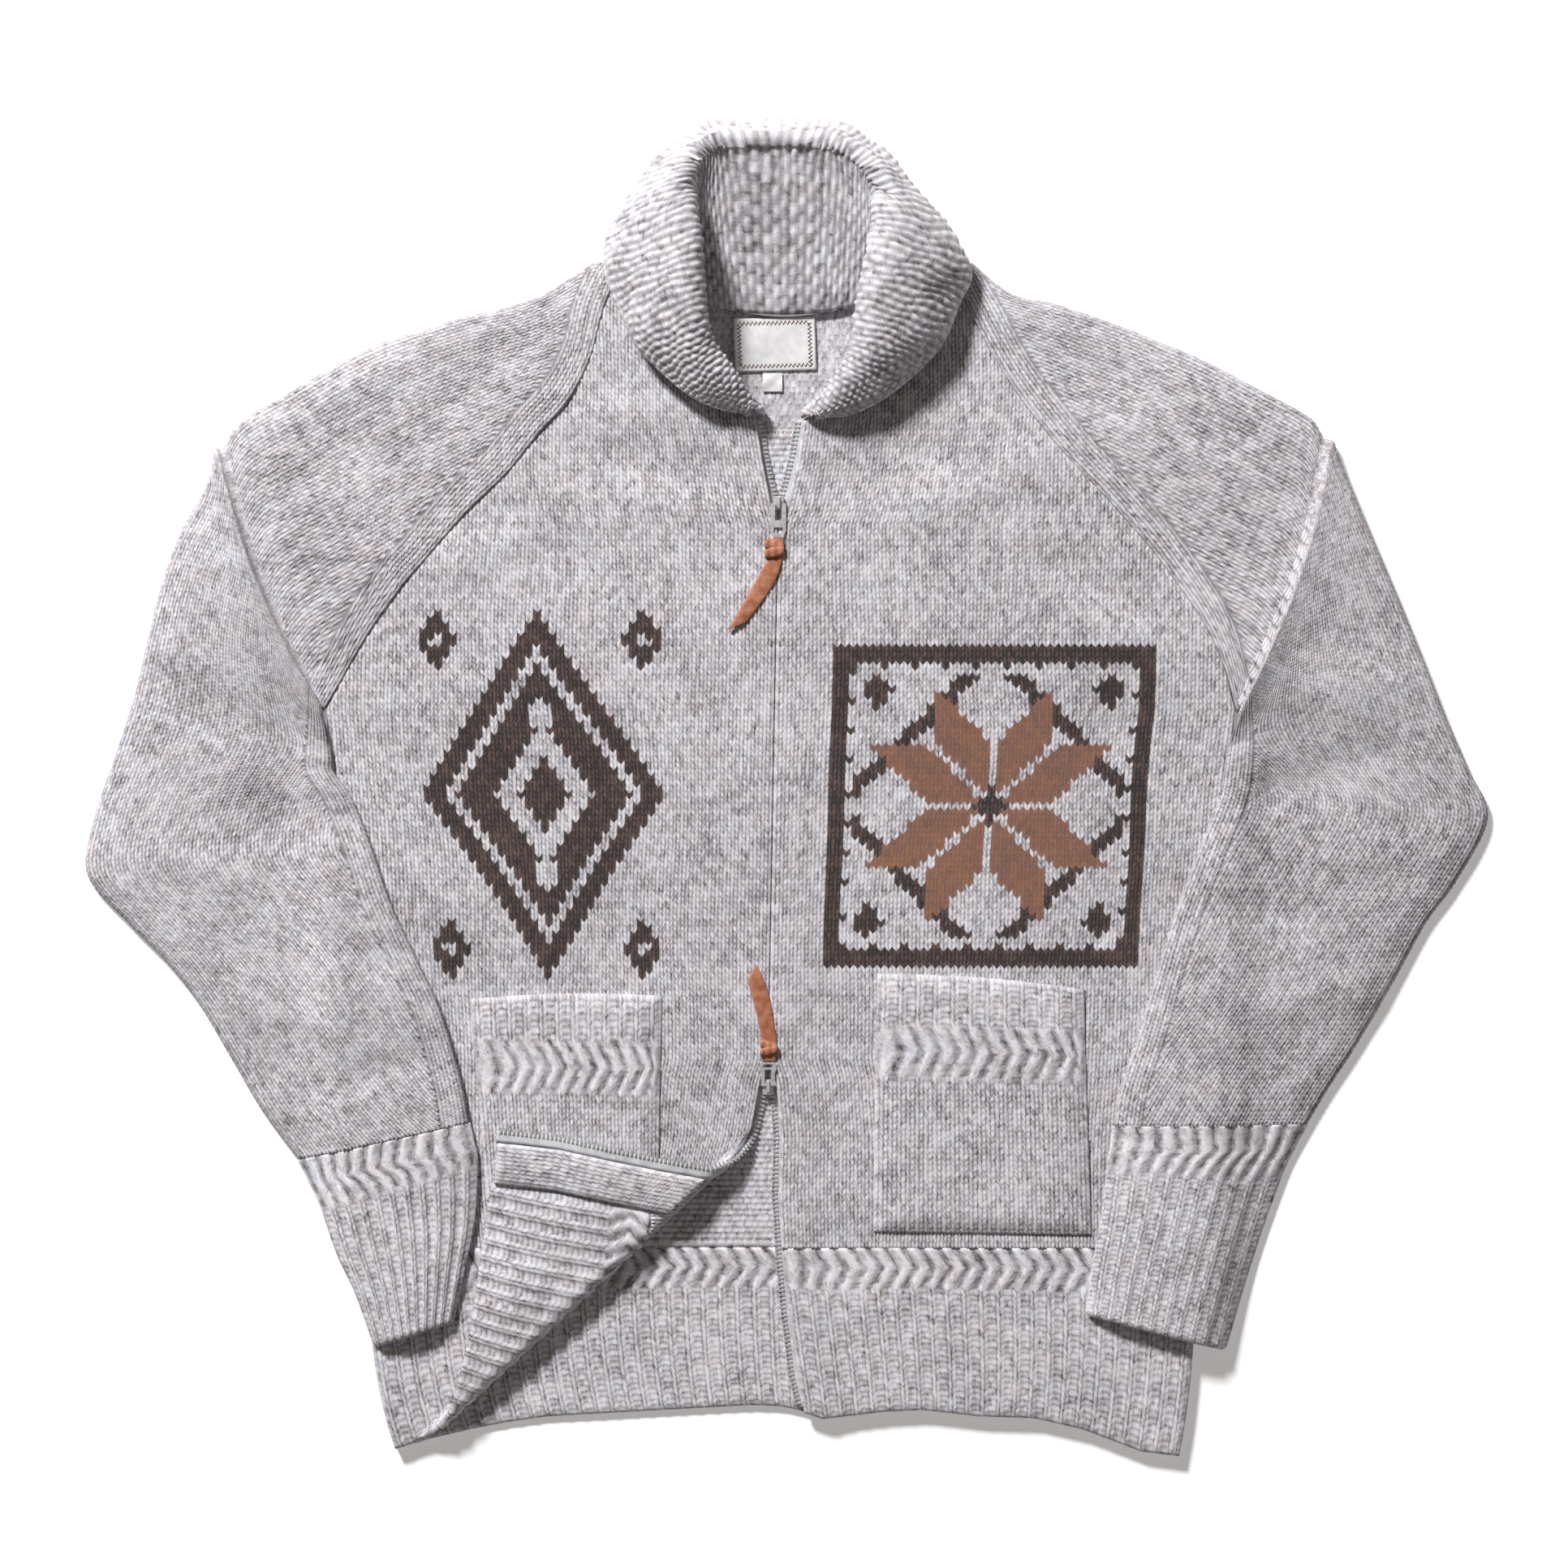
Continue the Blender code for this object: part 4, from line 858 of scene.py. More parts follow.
@dataclass(frozen=True)
class WovenFinish:
    """Tightly woven tape or satin, by the size of its weave and its colours."""

    name: str
    colour: tuple[int, int, int]
    shade: tuple[int, int, int]
    weave: float
    roughness: float

    def make(self) -> bpy.types.Material:
        """Builds the material.

        Returns:
            The material.
        """
        g = Graph(self.name)
        at = g.node("SeparateXYZ", {0: g.spot()})
        turn = 2.0 * math.pi / self.weave
        warp = g.math("SINE", g.times(at.outputs[0], turn))
        weft = g.math("SINE", g.times(at.outputs[1], turn))
        weave = g.math("MULTIPLY_ADD", g.times(warp, weft), 0.5, 0.5)
        wear = g.noise(220.0, 3.0, g.spot())
        tone = g.plus(g.times(weave, 0.5), g.ramp(wear, 0.35, 0.7, 0.0, 0.6))
        g.coat(base_color=g.blend(tone, linear(self.shade), linear(self.colour)),
               roughness=g.ramp(weave, 0.0, 1.0, self.roughness, 0.95), normal=g.bump(weave, 0.00015, 0.6))
        return g.material


class Finishes:
    """Every material of the garment, made once."""

    def __init__(self) -> None:
        """Builds them."""
        self.knit = KnitFinish().make()
        self.leather = LeatherFinish().make()
        self.metal = MetalFinish().make()
        self.tape = WovenFinish("zip_tape", (214, 215, 218), (170, 171, 176), 0.0011, 0.75).make()
        self.label = WovenFinish("label_cloth", (230, 229, 228), (200, 200, 202), 0.0006, 0.42).make()
        self.thread = WovenFinish("border_thread", (112, 44, 42), (66, 26, 26), 0.0008, 0.7).make()


# Panels

def sheet_of(item: bpy.types.Object, node: str, width: float, length: float, area: float,
             rests_on: Sequence[str] = (), slot: str = "grey_knit", held: Held = Held.LAID) -> None:
    """Hides the CAD node that the piece replaces, hangs the piece on the garment and logs its faces.

    Args:
        item: The finished piece.
        node: CAD node that it stands for.
        width: Width of the cut in metres; not used.
        length: Length of the cut in metres; not used.
        area: Area of the cut in square metres; not used.
        rests_on: What it lies on; not used.
        slot: Material slot of the record; not used.
        held: How the cloth is held; not used.
    """
    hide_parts(node)
    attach(item, "garment")
    LOG.info("%s: %d faces", node, len(item.data.polygons))


STAR_MIDDLE = (30.0, 75.0)
STAR_FRAME = 196.0
STAR_REACH = 150.0
BAND_REACH = 172.0
STAR_CORNER = 142.0
DIAMOND_MIDDLE = (27.0, 77.0)
DIAMOND_REACH = (152.0, 228.0)


def eight_point_star(x: Array, y: Array) -> Array:
    """True inside an eight-pointed star of radius 1 with lines between its petals.

    Args:
        x: Across, from -1 to 1.
        y: Down, from -1 to 1.

    Returns:
        True inside the star.
    """
    x, y = np.abs(x), np.abs(y)
    big, small = np.maximum(x, y), np.minimum(x, y)
    petal = (small < 0.5) & (small > np.maximum(0.035, big - 0.5))
    return petal & (big - small > 0.04) & (big < 1.0)


def star_yarn(s: Array, t: Array) -> Array:
    """Colour-work of the left front: a tan star in a stepped brown frame, counted in stitches.

    Args:
        s: Wales from the panel's outer side.
        t: Courses from the panel's foot.

    Returns:
        Yarn of each stitch: 0 for wool, 1 for brown and 2 for tan.
    """
    x = (np.floor(s) - STAR_MIDDLE[0]) * WALE
    y = (np.floor(t) - STAR_MIDDLE[1]) * COURSE
    reach = np.maximum(np.abs(x) / STAR_FRAME, np.abs(y) / STAR_FRAME)
    star = eight_point_star(x / STAR_REACH, y / STAR_REACH)
    teeth = 9.0 * np.abs(((x + y) / 38.0) % 1.0 - 0.5) / STAR_FRAME
    frame = (reach + teeth > 0.90) & (reach < 1.0)
    cross = np.abs(x) / BAND_REACH + np.abs(y) / BAND_REACH
    band = (cross > 1.02) & (cross < 1.16) & (reach < 0.84)
    corner = np.abs(np.abs(x) - STAR_CORNER) + np.abs(np.abs(y) - STAR_CORNER) < 22.0
    heart = np.abs(x) + np.abs(y) < 24.0
    tan = star & ~heart
    brown = (frame | band | corner | heart) & ~tan
    return np.where(tan, 2.0, 0.0) + np.where(brown, 1.0, 0.0)


def diamond_yarn(s: Array, t: Array) -> Array:
    """Colour-work of the right front: stepped brown diamonds inside one another.

    Args:
        s: Wales from the panel's outer side.
        t: Courses from the panel's foot.

    Returns:
        Yarn of each stitch: 0 for wool and 1 for brown.
    """
    x = (np.floor(s) - DIAMOND_MIDDLE[0]) * WALE
    y = (np.floor(t) - DIAMOND_MIDDLE[1]) * COURSE
    big = np.abs(x) / DIAMOND_REACH[0] + np.abs(y) / DIAMOND_REACH[1]
    rings = (big < 1.0) & (big > 0.80) | (big < 0.70) & (big > 0.40) | (big < 0.22)
    side = np.abs(np.abs(x) - 128.0) / 26.0 + np.abs(np.abs(y) - 190.0) / 40.0
    middle = np.abs(x) / 26.0 + np.abs(np.abs(y) - 96.0) / 30.0
    dots = (side < 1.0) & (side > 0.35)
    return ((rings & ~(middle < 0.8)) | dots).astype(float)


@dataclass
class FrontPanel:
    """One front: plain knit from the hem seam to the raglan seam and the neck."""

    node: str
    rows: Table
    zip_edge: Table
    side_edge: Table
    raglan: Table
    creases: Table
    setting: Callable[[Array, Array, Array], Array]
    raise_at: Callable[[Array, Array], Array]
    yarn: Callable[[Array, Array], Array]
    cut: tuple[float, float]
    columns: int = 232
    foot: float = 1539.4

    def __post_init__(self) -> None:
        """Works out the columns of the panel."""
        self.side = self.side_edge[0][0]
        self.zip = self.rows[8][1]
        self.sign = 1.0 if self.zip > self.side else -1.0
        self.throat = self.rows[5]

    def across(self, w: Array, v: Array) -> Array:
        """Place across the drawing at share w from the side edge to the zip edge.

        Args:
            w: Share of the way, from 0 to 1.
            v: Drawing v of each point.

        Returns:
            Drawing u of each point.
        """
        edge = np.where(v < self.throat[0], self.throat[1], line_at(self.zip_edge, v))
        wave = 3.0 * np.sin(v / 88.0 + 5.0 * w) + 1.6 * np.sin(v / 37.0 - 9.0 * w)
        return (self.side + (self.zip - self.side) * w + (edge - self.zip) * w * w
                + (line_at(self.side_edge, v) - self.side) * (1.0 - w) + wave * 4.0 * w * (1.0 - w))

    def tops(self) -> Array:
        """Where each column ends at the raglan seam or the neck edge.

        Returns:
            Drawing v of the upper edge, one for each column.
        """
        w = (np.arange(self.columns + 1) / self.columns)[:, None]
        v = np.arange(self.side_edge[0][1], self.rows[0][3] - 0.2, -0.5)[None, :]
        u = self.across(w, v)
        outside = (u - line_at(self.raglan, v)) * self.sign < 0.0
        neck = [(r[1], r[0]) for r in self.rows[:6]]
        outside |= ((u - line_at(neck, v)) * self.sign > 0.0) & (v < self.throat[0])
        outside[:, -1] = True
        found = v[0][np.argmax(outside, axis=1)]
        found[0], found[-1] = self.side_edge[0][1] - 0.5, self.throat[0]
        return found

    def height(self, u: Array, v: Array, inset: Array) -> Array:
        """Height of the outer face without its stitches."""
        sunk = 0.0003 * (1.0 - ease(-1.0, 9.0, inset))
        return self.raise_at(u, v) + KNIT + creased(self.creases, u, v) - sunk

    def inner(self, u: Array, v: Array) -> Array:
        """World points of the inner face."""
        return self.setting(u, v, self.raise_at(u, v))

    def stitch(self, u: Array, v: Array) -> tuple[Array, Array]:
        """Wale and course coordinates of the inner face."""
        return np.abs(u - self.side) / WALE, (self.foot - v) / COURSE

    def build(self, finishes: Finishes) -> bpy.types.Object:
        """Makes the panel.

        Args:
            finishes: The finishes to dress it with.

        Returns:
            The piece as an object.
        """
        knit = Knitted()
        tops = self.tops()
        lines, loop_spots, interior = [], [], []
        for i in range(self.columns + 1):
            w = i / self.columns
            s = np.float64(i / 4.0 + WALE_NUDGE)
            full = np.arange(0, int((self.foot - tops[i] - 2.5) / ROW) + 1)
            level = self.foot - ROW * full
            steep = LEG_SLANT * chevron(s) * np.minimum(full / 3.0, 1.0)
            v = level - np.minimum(steep, 0.8 * (level - tops[i]))
            v = np.append(v, tops[i])
            t = np.append(full / 2.0, full[-1] / 2.0 + 0.5)
            u = self.across(w, v)
            relief, hollow = plain_relief(s, t)
            inset = np.minimum(v - tops[i], COLUMN * min(i, self.columns - i))
            near = ease(0.0, 6.0, inset)
            height = self.height(u, v, inset) + LEG_RELIEF * relief * near
            lines.append(knit.add(self.setting(u, v, height), s, t, mix(0.5, hollow, 0.4 + 0.6 * near)))
            loop_spots.append(np.stack([u, v], axis=1))
            rolled = np.abs(past_fold(u, v) - FOLD_ARC / 2.0) < FOLD_ARC / 2.0 + 8.0
            keep = np.zeros(len(v), bool)
            keep[4:-4:6] = i % 6 == 3
            if self.setting is folded:
                keep[2:-3:2] |= rolled[2:-3:2] & (i % 2 == 1)
                keep[1:-2] |= (past_fold(u, v) > FOLD_ARC)[1:-2] & (i % 2 == 1)
            keep &= 3 < i < self.columns - 3
            interior.append(loop_spots[-1][keep])
        for a, b in zip(lines, lines[1:]):
            knit.join(a, b)
        loop = np.concatenate([[line[0] for line in lines], lines[-1][1:],
                               [line[-1] for line in lines[-2::-1]], lines[0][-2:0:-1]])
        spots = np.concatenate([[line[0] for line in loop_spots], loop_spots[-1][1:],
                                [line[-1] for line in loop_spots[-2::-1]], loop_spots[0][-2:0:-1]])
        knit.back_outline(loop, spots, np.concatenate(interior), self.inner, self.stitch)
        item = knit.build(self.node, finishes.knit, self.yarn)
        outline = np.array([(r[1], r[0]) for r in self.rows] + [(r[2], r[3]) for r in self.rows[::-1]])
        sheet_of(item, self.node, *self.cut, area_of(outline), ["back"])
        return item


@dataclass
class RibbedHem:
    """Ribbed band under a hem seam, with a zigzag band at its top."""

    node: str
    ends: Callable[[Array], tuple[Array, Array]]
    ribs: int
    setting: Callable[[Array, Array, Array], Array]
    raise_at: Callable[[Array, Array], Array]
    cut: tuple[float, float]
    rows: int = 58
    inner_step: int = 8
    on_flap: bool = False

    def spots(self, k: Array, share: Array) -> tuple[Array, Array]:
        """Drawing points of ribs k at shares of the hem's depth.

        Args:
            k: Wale coordinates.
            share: Share of the way down the hem.

        Returns:
            Drawing u and v of each point.
        """
        first, last = self.ends(share)
        side = k / (2.0 * self.ribs)
        shift = STRAND_SHIFT * np.clip(1.0 - np.abs(share - 0.12) / 0.12, 0.0, 1.0)
        u = mix(first, last, side) + shift * np.clip(8.0 * np.minimum(side, 1.0 - side), 0.0, 1.0)
        return u, mix(HEM_SEAM_V, line_at(HEM_LINE, u, 0, 1), share)

    def build(self, finishes: Finishes) -> bpy.types.Object:
        """Makes the hem.

        Args:
            finishes: The finishes to dress it with.

        Returns:
            The piece as an object.
        """
        knit = Knitted()
        k = (np.arange(8 * self.ribs + 1) / 4.0)[None, :]
        j = np.arange(self.rows + 1.0)[:, None]
        s, t = k + 0.5, j / 2.0
        ends = np.minimum(np.minimum(j, self.rows - j) / 3.0, 1.0)
        slant = dip(s) * (np.floor(s) % 2 == 1) * RIB_ROWS * ends
        share = (j + slant) / self.rows
        zigzag = ease(0.27, 0.23, share)
        u, v = self.spots(k, share)
        relief, hollow = rib_relief(s, t, zigzag)
        inset = np.minimum((self.rows - j) * ROW, COLUMN * np.minimum(k, 2.0 * self.ribs - k) * 4.0)
        near = ease(-2.0, 7.0, inset)
        raised = self.raise_at(u, v)
        top = raised + KNIT + (HEM_RELIEF * relief - 0.0003) * near - ROLLED_EDGE * (1.0 - near)
        top += 0.35 * creased(RIGHT_CREASES, u, v)
        ids = knit.add(self.setting(u, v, top), s, t, mix(0.6, hollow, near))
        knit.grid(ids)
        if self.on_flap:
            over = ease(0.0, FOLD_RADIUS / UNIT, past_fold(u, v))
            near_zip = ease(60.0, 68.0, line_at(RIGHT_ZIP_EDGE, v) - u)
            inner = raised - HEM_RELIEF * relief * over * near_zip
            back = knit.add(self.setting(u, v, inner), s, t, hollow)
            knit.grid(back)
            knit.join(rim(ids), rim(back))
        else:
            knit.back_grid(ids, self.setting(u, v, raised), s, t, self.inner_step)
        item = knit.build(self.node, finishes.knit)
        sheet_of(item, self.node, *self.cut, self.cut[0] * self.cut[1] * 0.94,
                 ["hem_back"] if self.node != "hem_back" else [])
        return item


@dataclass
class PatchPocket:
    """Patch pocket: ribbed band, zigzag band, then plain knit."""

    node: str
    table: Table
    cut: tuple[float, float]
    ribs: int = 12

    def build(self, finishes: Finishes) -> bpy.types.Object:
        """Makes the pocket.

        Args:
            finishes: The finishes to dress it with.

        Returns:
            The piece as an object.
        """
        knit = Knitted()
        depth = self.table[-1][0] - self.table[0][0]
        rows = int(depth / ROW)
        k = (np.arange(8 * self.ribs + 1) / 4.0)[None, :]
        j = np.arange(rows + 1.0)[:, None]
        s, t = k + 0.5, j / 2.0
        ends = np.minimum(np.minimum(j, rows - j) / 3.0, 1.0)
        plain = ease(0.0, 3.0, (j * ROW - (self.table[3][0] - self.table[0][0])) / ROW)
        ribbed = 1.0 - plain
        knit_wale = np.maximum(np.floor(s) % 2 == 1, plain)
        level = self.table[0][0] + depth * (j + dip(s) * RIB_ROWS * knit_wale * ends) / rows
        v_keys = [row[0] for row in self.table]
        side = k / (2.0 * self.ribs)
        left, right = (np.interp(level, v_keys, [row[c] for row in self.table]) for c in (1, 2))
        drop = np.interp(level, v_keys, [row[3] - row[0] for row in self.table])
        peak = 1.0 - np.abs(level - self.table[2][0]) / (self.table[2][0] - self.table[1][0])
        shift = STRAND_SHIFT * np.clip(peak, 0.0, 1.0) * np.clip(8.0 * np.minimum(side, 1.0 - side), 0.0, 1.0)
        sag = 5.0 * np.sin(math.pi * side) * ease(60.0, 0.0, level - self.table[0][0])
        u = mix(left, right, side) + shift
        v = level + drop * side - sag
        zigzag = ease(-0.1, 0.1, peak) * ribbed
        rib_height, rib_hollow = rib_relief(s, t, zigzag)
        flat_height, flat_hollow = plain_relief(s, t)
        relief = mix(flat_height * 0.75, rib_height, ribbed)
        hollow = mix(flat_hollow, rib_hollow, ribbed)
        inset = np.minimum(np.minimum(j, rows - j) * ROW, COLUMN * 4.0 * np.minimum(k, 2.0 * self.ribs - k))
        near = ease(-2.0, 7.0, inset)
        low = KNIT + GAP + 0.0 * u
        top = low + POCKET_KNIT * (0.18 + 0.82 * ease(-4.0, 24.0, inset)) + POCKET_RELIEF * relief * near
        top += 0.0007 * np.sin(math.pi * side) * ease(40.0, 0.0, level - self.table[0][0])
        ids = knit.add(flat_front(u, v, top), s, t, mix(0.55, hollow, near))
        knit.grid(ids)
        knit.back_grid(ids, flat_front(u, v, low), s, t, 6)
        item = knit.build(self.node, finishes.knit)
        front = self.node.replace("pocket", "front")
        sheet_of(item, self.node, *self.cut, self.cut[0] * self.cut[1] * 0.97, [front])
        return item


def inside(points: Array, outline: Array) -> Array:
    """True for the points inside a closed outline.

    Args:
        points: Drawing points to test.
        outline: Corners of a closed outline.

    Returns:
        True for each point inside.
    """
    u, v = points[:, 0][:, None], points[:, 1][:, None]
    a, b = outline, np.roll(outline, -1, axis=0)
    spans = (a[:, 1] > v) != (b[:, 1] > v)
    with np.errstate(divide="ignore", invalid="ignore"):
        crossing = a[:, 0] + (v - a[:, 1]) / (b[:, 1] - a[:, 1]) * (b[:, 0] - a[:, 0])
    return np.sum(spans & (u < crossing), axis=1) % 2 == 1


@dataclass
class BackPanel:
    """Back: its reverse shows inside the neck and behind the folded corner."""

    windows: tuple[tuple[float, float, float, float], ...] = (
        (790, 376, 1140, 530), (915, 532, 1010, 660), (780, 1340, 1010, 1534))
    cut: tuple[float, float] = (0.56, 0.60)
    spacing: float = 24.0
    margin: float = 6.0

    def outline(self) -> Array:
        """Outline of the panel in the drawing, in even steps.

        Returns:
            Drawing points in order.
        """
        neck_dip = (0.0, 0.30, 0.62, 0.86, 1.0, 1.0, 0.86, 0.62, 0.30, 0.0)
        right, left = RIGHT_ROWS[0], LEFT_ROWS[0]
        shares = np.linspace(0.0, 1.0, len(neck_dip))
        neck = np.stack([mix(right[2], left[2], shares),
                         mix(mix(right[3], left[3], shares), BACK_MIDDLE[0], np.array(neck_dip))], axis=1)
        neck = catmull(neck, np.linspace(0, 9, 120, endpoint=False))
        left_side = np.array([(r[2], r[3]) for r in LEFT_ROWS])
        right_side = np.array([(r[2], r[3]) for r in RIGHT_ROWS[:0:-1]])
        left_side = catmull(left_side, np.linspace(0, 19, 200, endpoint=False))
        foot = np.linspace(LEFT_ROWS[-1][2], RIGHT_ROWS[-1][2], 120, endpoint=False)
        foot = np.stack([foot, np.full(120, 1539.0)], axis=1)
        right_side = catmull(right_side, np.linspace(0, 18, 200, endpoint=True))
        return np.concatenate([neck, left_side, foot, right_side])

    def build(self, finishes: Finishes) -> bpy.types.Object:
        """Makes the panel.

        Args:
            finishes: The finishes to dress it with.

        Returns:
            The piece as an object.
        """
        knit = Knitted()
        outline = self.outline()
        coarse = np.meshgrid(np.arange(420, 1520, self.spacing), np.arange(340, 1530, self.spacing))
        grids = [np.stack(coarse, -1).reshape(-1, 2)]
        keep = np.ones(len(grids[0]), bool)
        for u0, v0, u1, v1 in self.windows:
            fine = np.stack(np.meshgrid(np.arange(u0, u1, COLUMN * 1.5), np.arange(v0, v1, ROW)), -1)
            grids.append(fine.reshape(-1, 2))
            x, y = grids[0].T
            near_x = (x > u0 - self.margin) & (x < u1 + self.margin)
            keep &= ~(near_x & (y > v0 - self.margin) & (y < v1 + self.margin))
        grids[0] = grids[0][keep]
        dots = np.concatenate(grids)
        dots = dots[inside(dots, outline)]
        every = np.concatenate([outline, dots])
        u, v = every[:, 0], every[:, 1]
        s, t = u / WALE, -v / COURSE
        shown = np.zeros(len(u), bool)
        for u0, v0, u1, v1 in self.windows:
            shown |= (u > u0) & (u < u1) & (v > v0) & (v < v1)
        relief, hollow = purl_relief(s, t)
        mesh = delaunay_2d_cdt([Vector(p) for p in every.tolist()], [], [list(range(len(outline)))], 1, 1e-5)
        origin = np.array([found[0] if found else 0 for found in mesh[3]])
        faces = origin[np.array(mesh[2])]
        top = knit.add(flat_back(u, v, KNIT + PURL_RELIEF * relief * shown), s, t,
                       np.where(shown, hollow, COARSE))
        low = knit.add(flat_back(u, v, 0.0 * u), s, t, COARSE)
        knit.triangles += [top[faces], low[faces]]
        n = len(outline)
        knit.join(np.append(top[:n], top[0]), np.append(low[:n], low[0]))
        item = knit.build("back", finishes.knit)
        sheet_of(item, "back", *self.cut, area_of(outline))
        return item


# Sleeves and cuffs

RIGHT_SHOULDER = ((733, 321), (676, 358), (625, 378), (575, 389), (525, 404), (478, 419), (430, 440),
                  (378, 470), (345, 490), (312, 508), (289, 526), (277, 548))
LEFT_SHOULDER = ((1198, 323), (1244, 360), (1290, 371), (1340, 387), (1390, 405), (1440, 425), (1490, 447),
                 (1536, 471), (1566, 487), (1598, 504), (1620, 519), (1630, 538))
PLEAT_BOW = 13.0
PLEAT_STEPS = ((6.5, 0.00115), (10.1, 0.00405), (11.9, 0.00890), (14.3, 0.0099))
RIGHT_TUBE = (
    (399, 888, 253, 600, 0.0095), (403, 898, 223, 655, 0.0085), (406, 909, 200, 715, 0.0070),
    (408, 922, 182, 785, 0.0055), (410, 936, 165, 858, 0.0040), (412, 952, 140, 935, 0.0025),
    (434, 985, 114, 1012, 0.0010), (458, 1045, 107, 1078, 0.0), (481, 1112, 158, 1138, 0.0),
    (511, 1178, 205, 1186, 0.0), (539, 1237, 244, 1236, 0.0), (557, 1292, 282, 1300, 0.0),
    (570, 1340, 321, 1366, 0.0), (577, 1381, 366, 1427, 0.0),
)
LEFT_TUBE = (
    (1525, 890, 1658, 583, 0.0095), (1521, 899, 1688, 655, 0.0085), (1517, 909, 1722, 735, 0.0070),
    (1514, 921, 1756, 818, 0.0055), (1511, 935, 1782, 884, 0.0040), (1509, 950, 1810, 948, 0.0025),
    (1502, 985, 1834, 1008, 0.0010), (1472, 1060, 1795, 1086, 0.0), (1443, 1140, 1758, 1137, 0.0),
    (1420, 1215, 1720, 1206, 0.0), (1401, 1280, 1674, 1285, 0.0), (1381, 1339, 1637, 1342, 0.0),
    (1373, 1385, 1612, 1384, 0.0),
)
RIGHT_CUFF = (
    (577.8, 1383.2, 366.8, 1429.8), (583, 1407, 381, 1457), (587, 1431, 394, 1484),
    (584, 1500, 416, 1545), (571, 1567, 440, 1594), (557, 1630, 463, 1659),
)
LEFT_CUFF = (
    (1372.6, 1387.0, 1611.6, 1386.0), (1369, 1412, 1594, 1418), (1365, 1438, 1580, 1448),
    (1358, 1499, 1556, 1514), (1347, 1560, 1533, 1585), (1339, 1620, 1509, 1664),
)
SLEEVE_HOLLOW = 0.0010
SLEEVE_CROWN = 0.0026
EDGE_DROP = 0.0036
EDGE_REACH = 40.0
PLEAT_STEEP = 0.0004
PLEAT_CALM = 0.8
# Level of the painted shade between the yarns in the pleat rows.
PLEAT_HOLLOW = 0.72
CLIMB_END = 946.0
LIFT_REACH = (75.0, 6.0)
FULL_CROWN = 250.0
EDGE_INSET = (KNIT + SLEEVE_HOLLOW / 2.0) / UNIT
QUARTER = math.pi / 2.0
BAND_COLUMNS = 16
LOWER_SHARES = (0.0, 0.2, 0.4, 0.6, 0.8, 1.0)


def beside(points: Array, distance: float) -> Array:
    """The line moved sideways by an even distance.

    Args:
        points: Drawing points in order.
        distance: How far to the side, in drawing units.

    Returns:
        The points moved to the side.
    """
    steps = np.diff(points, axis=0)
    ways = steps / np.linalg.norm(steps, axis=1)[:, None]
    before, after = np.vstack([ways[:1], ways]), np.vstack([ways, ways[-1:]])
    corner = before + after
    corner /= np.linalg.norm(corner, axis=1)[:, None]
    reach = distance / np.maximum(0.5, np.sum(corner * after, axis=1))
    return points + np.stack([-corner[:, 1], corner[:, 0]], axis=1) * reach[:, None]


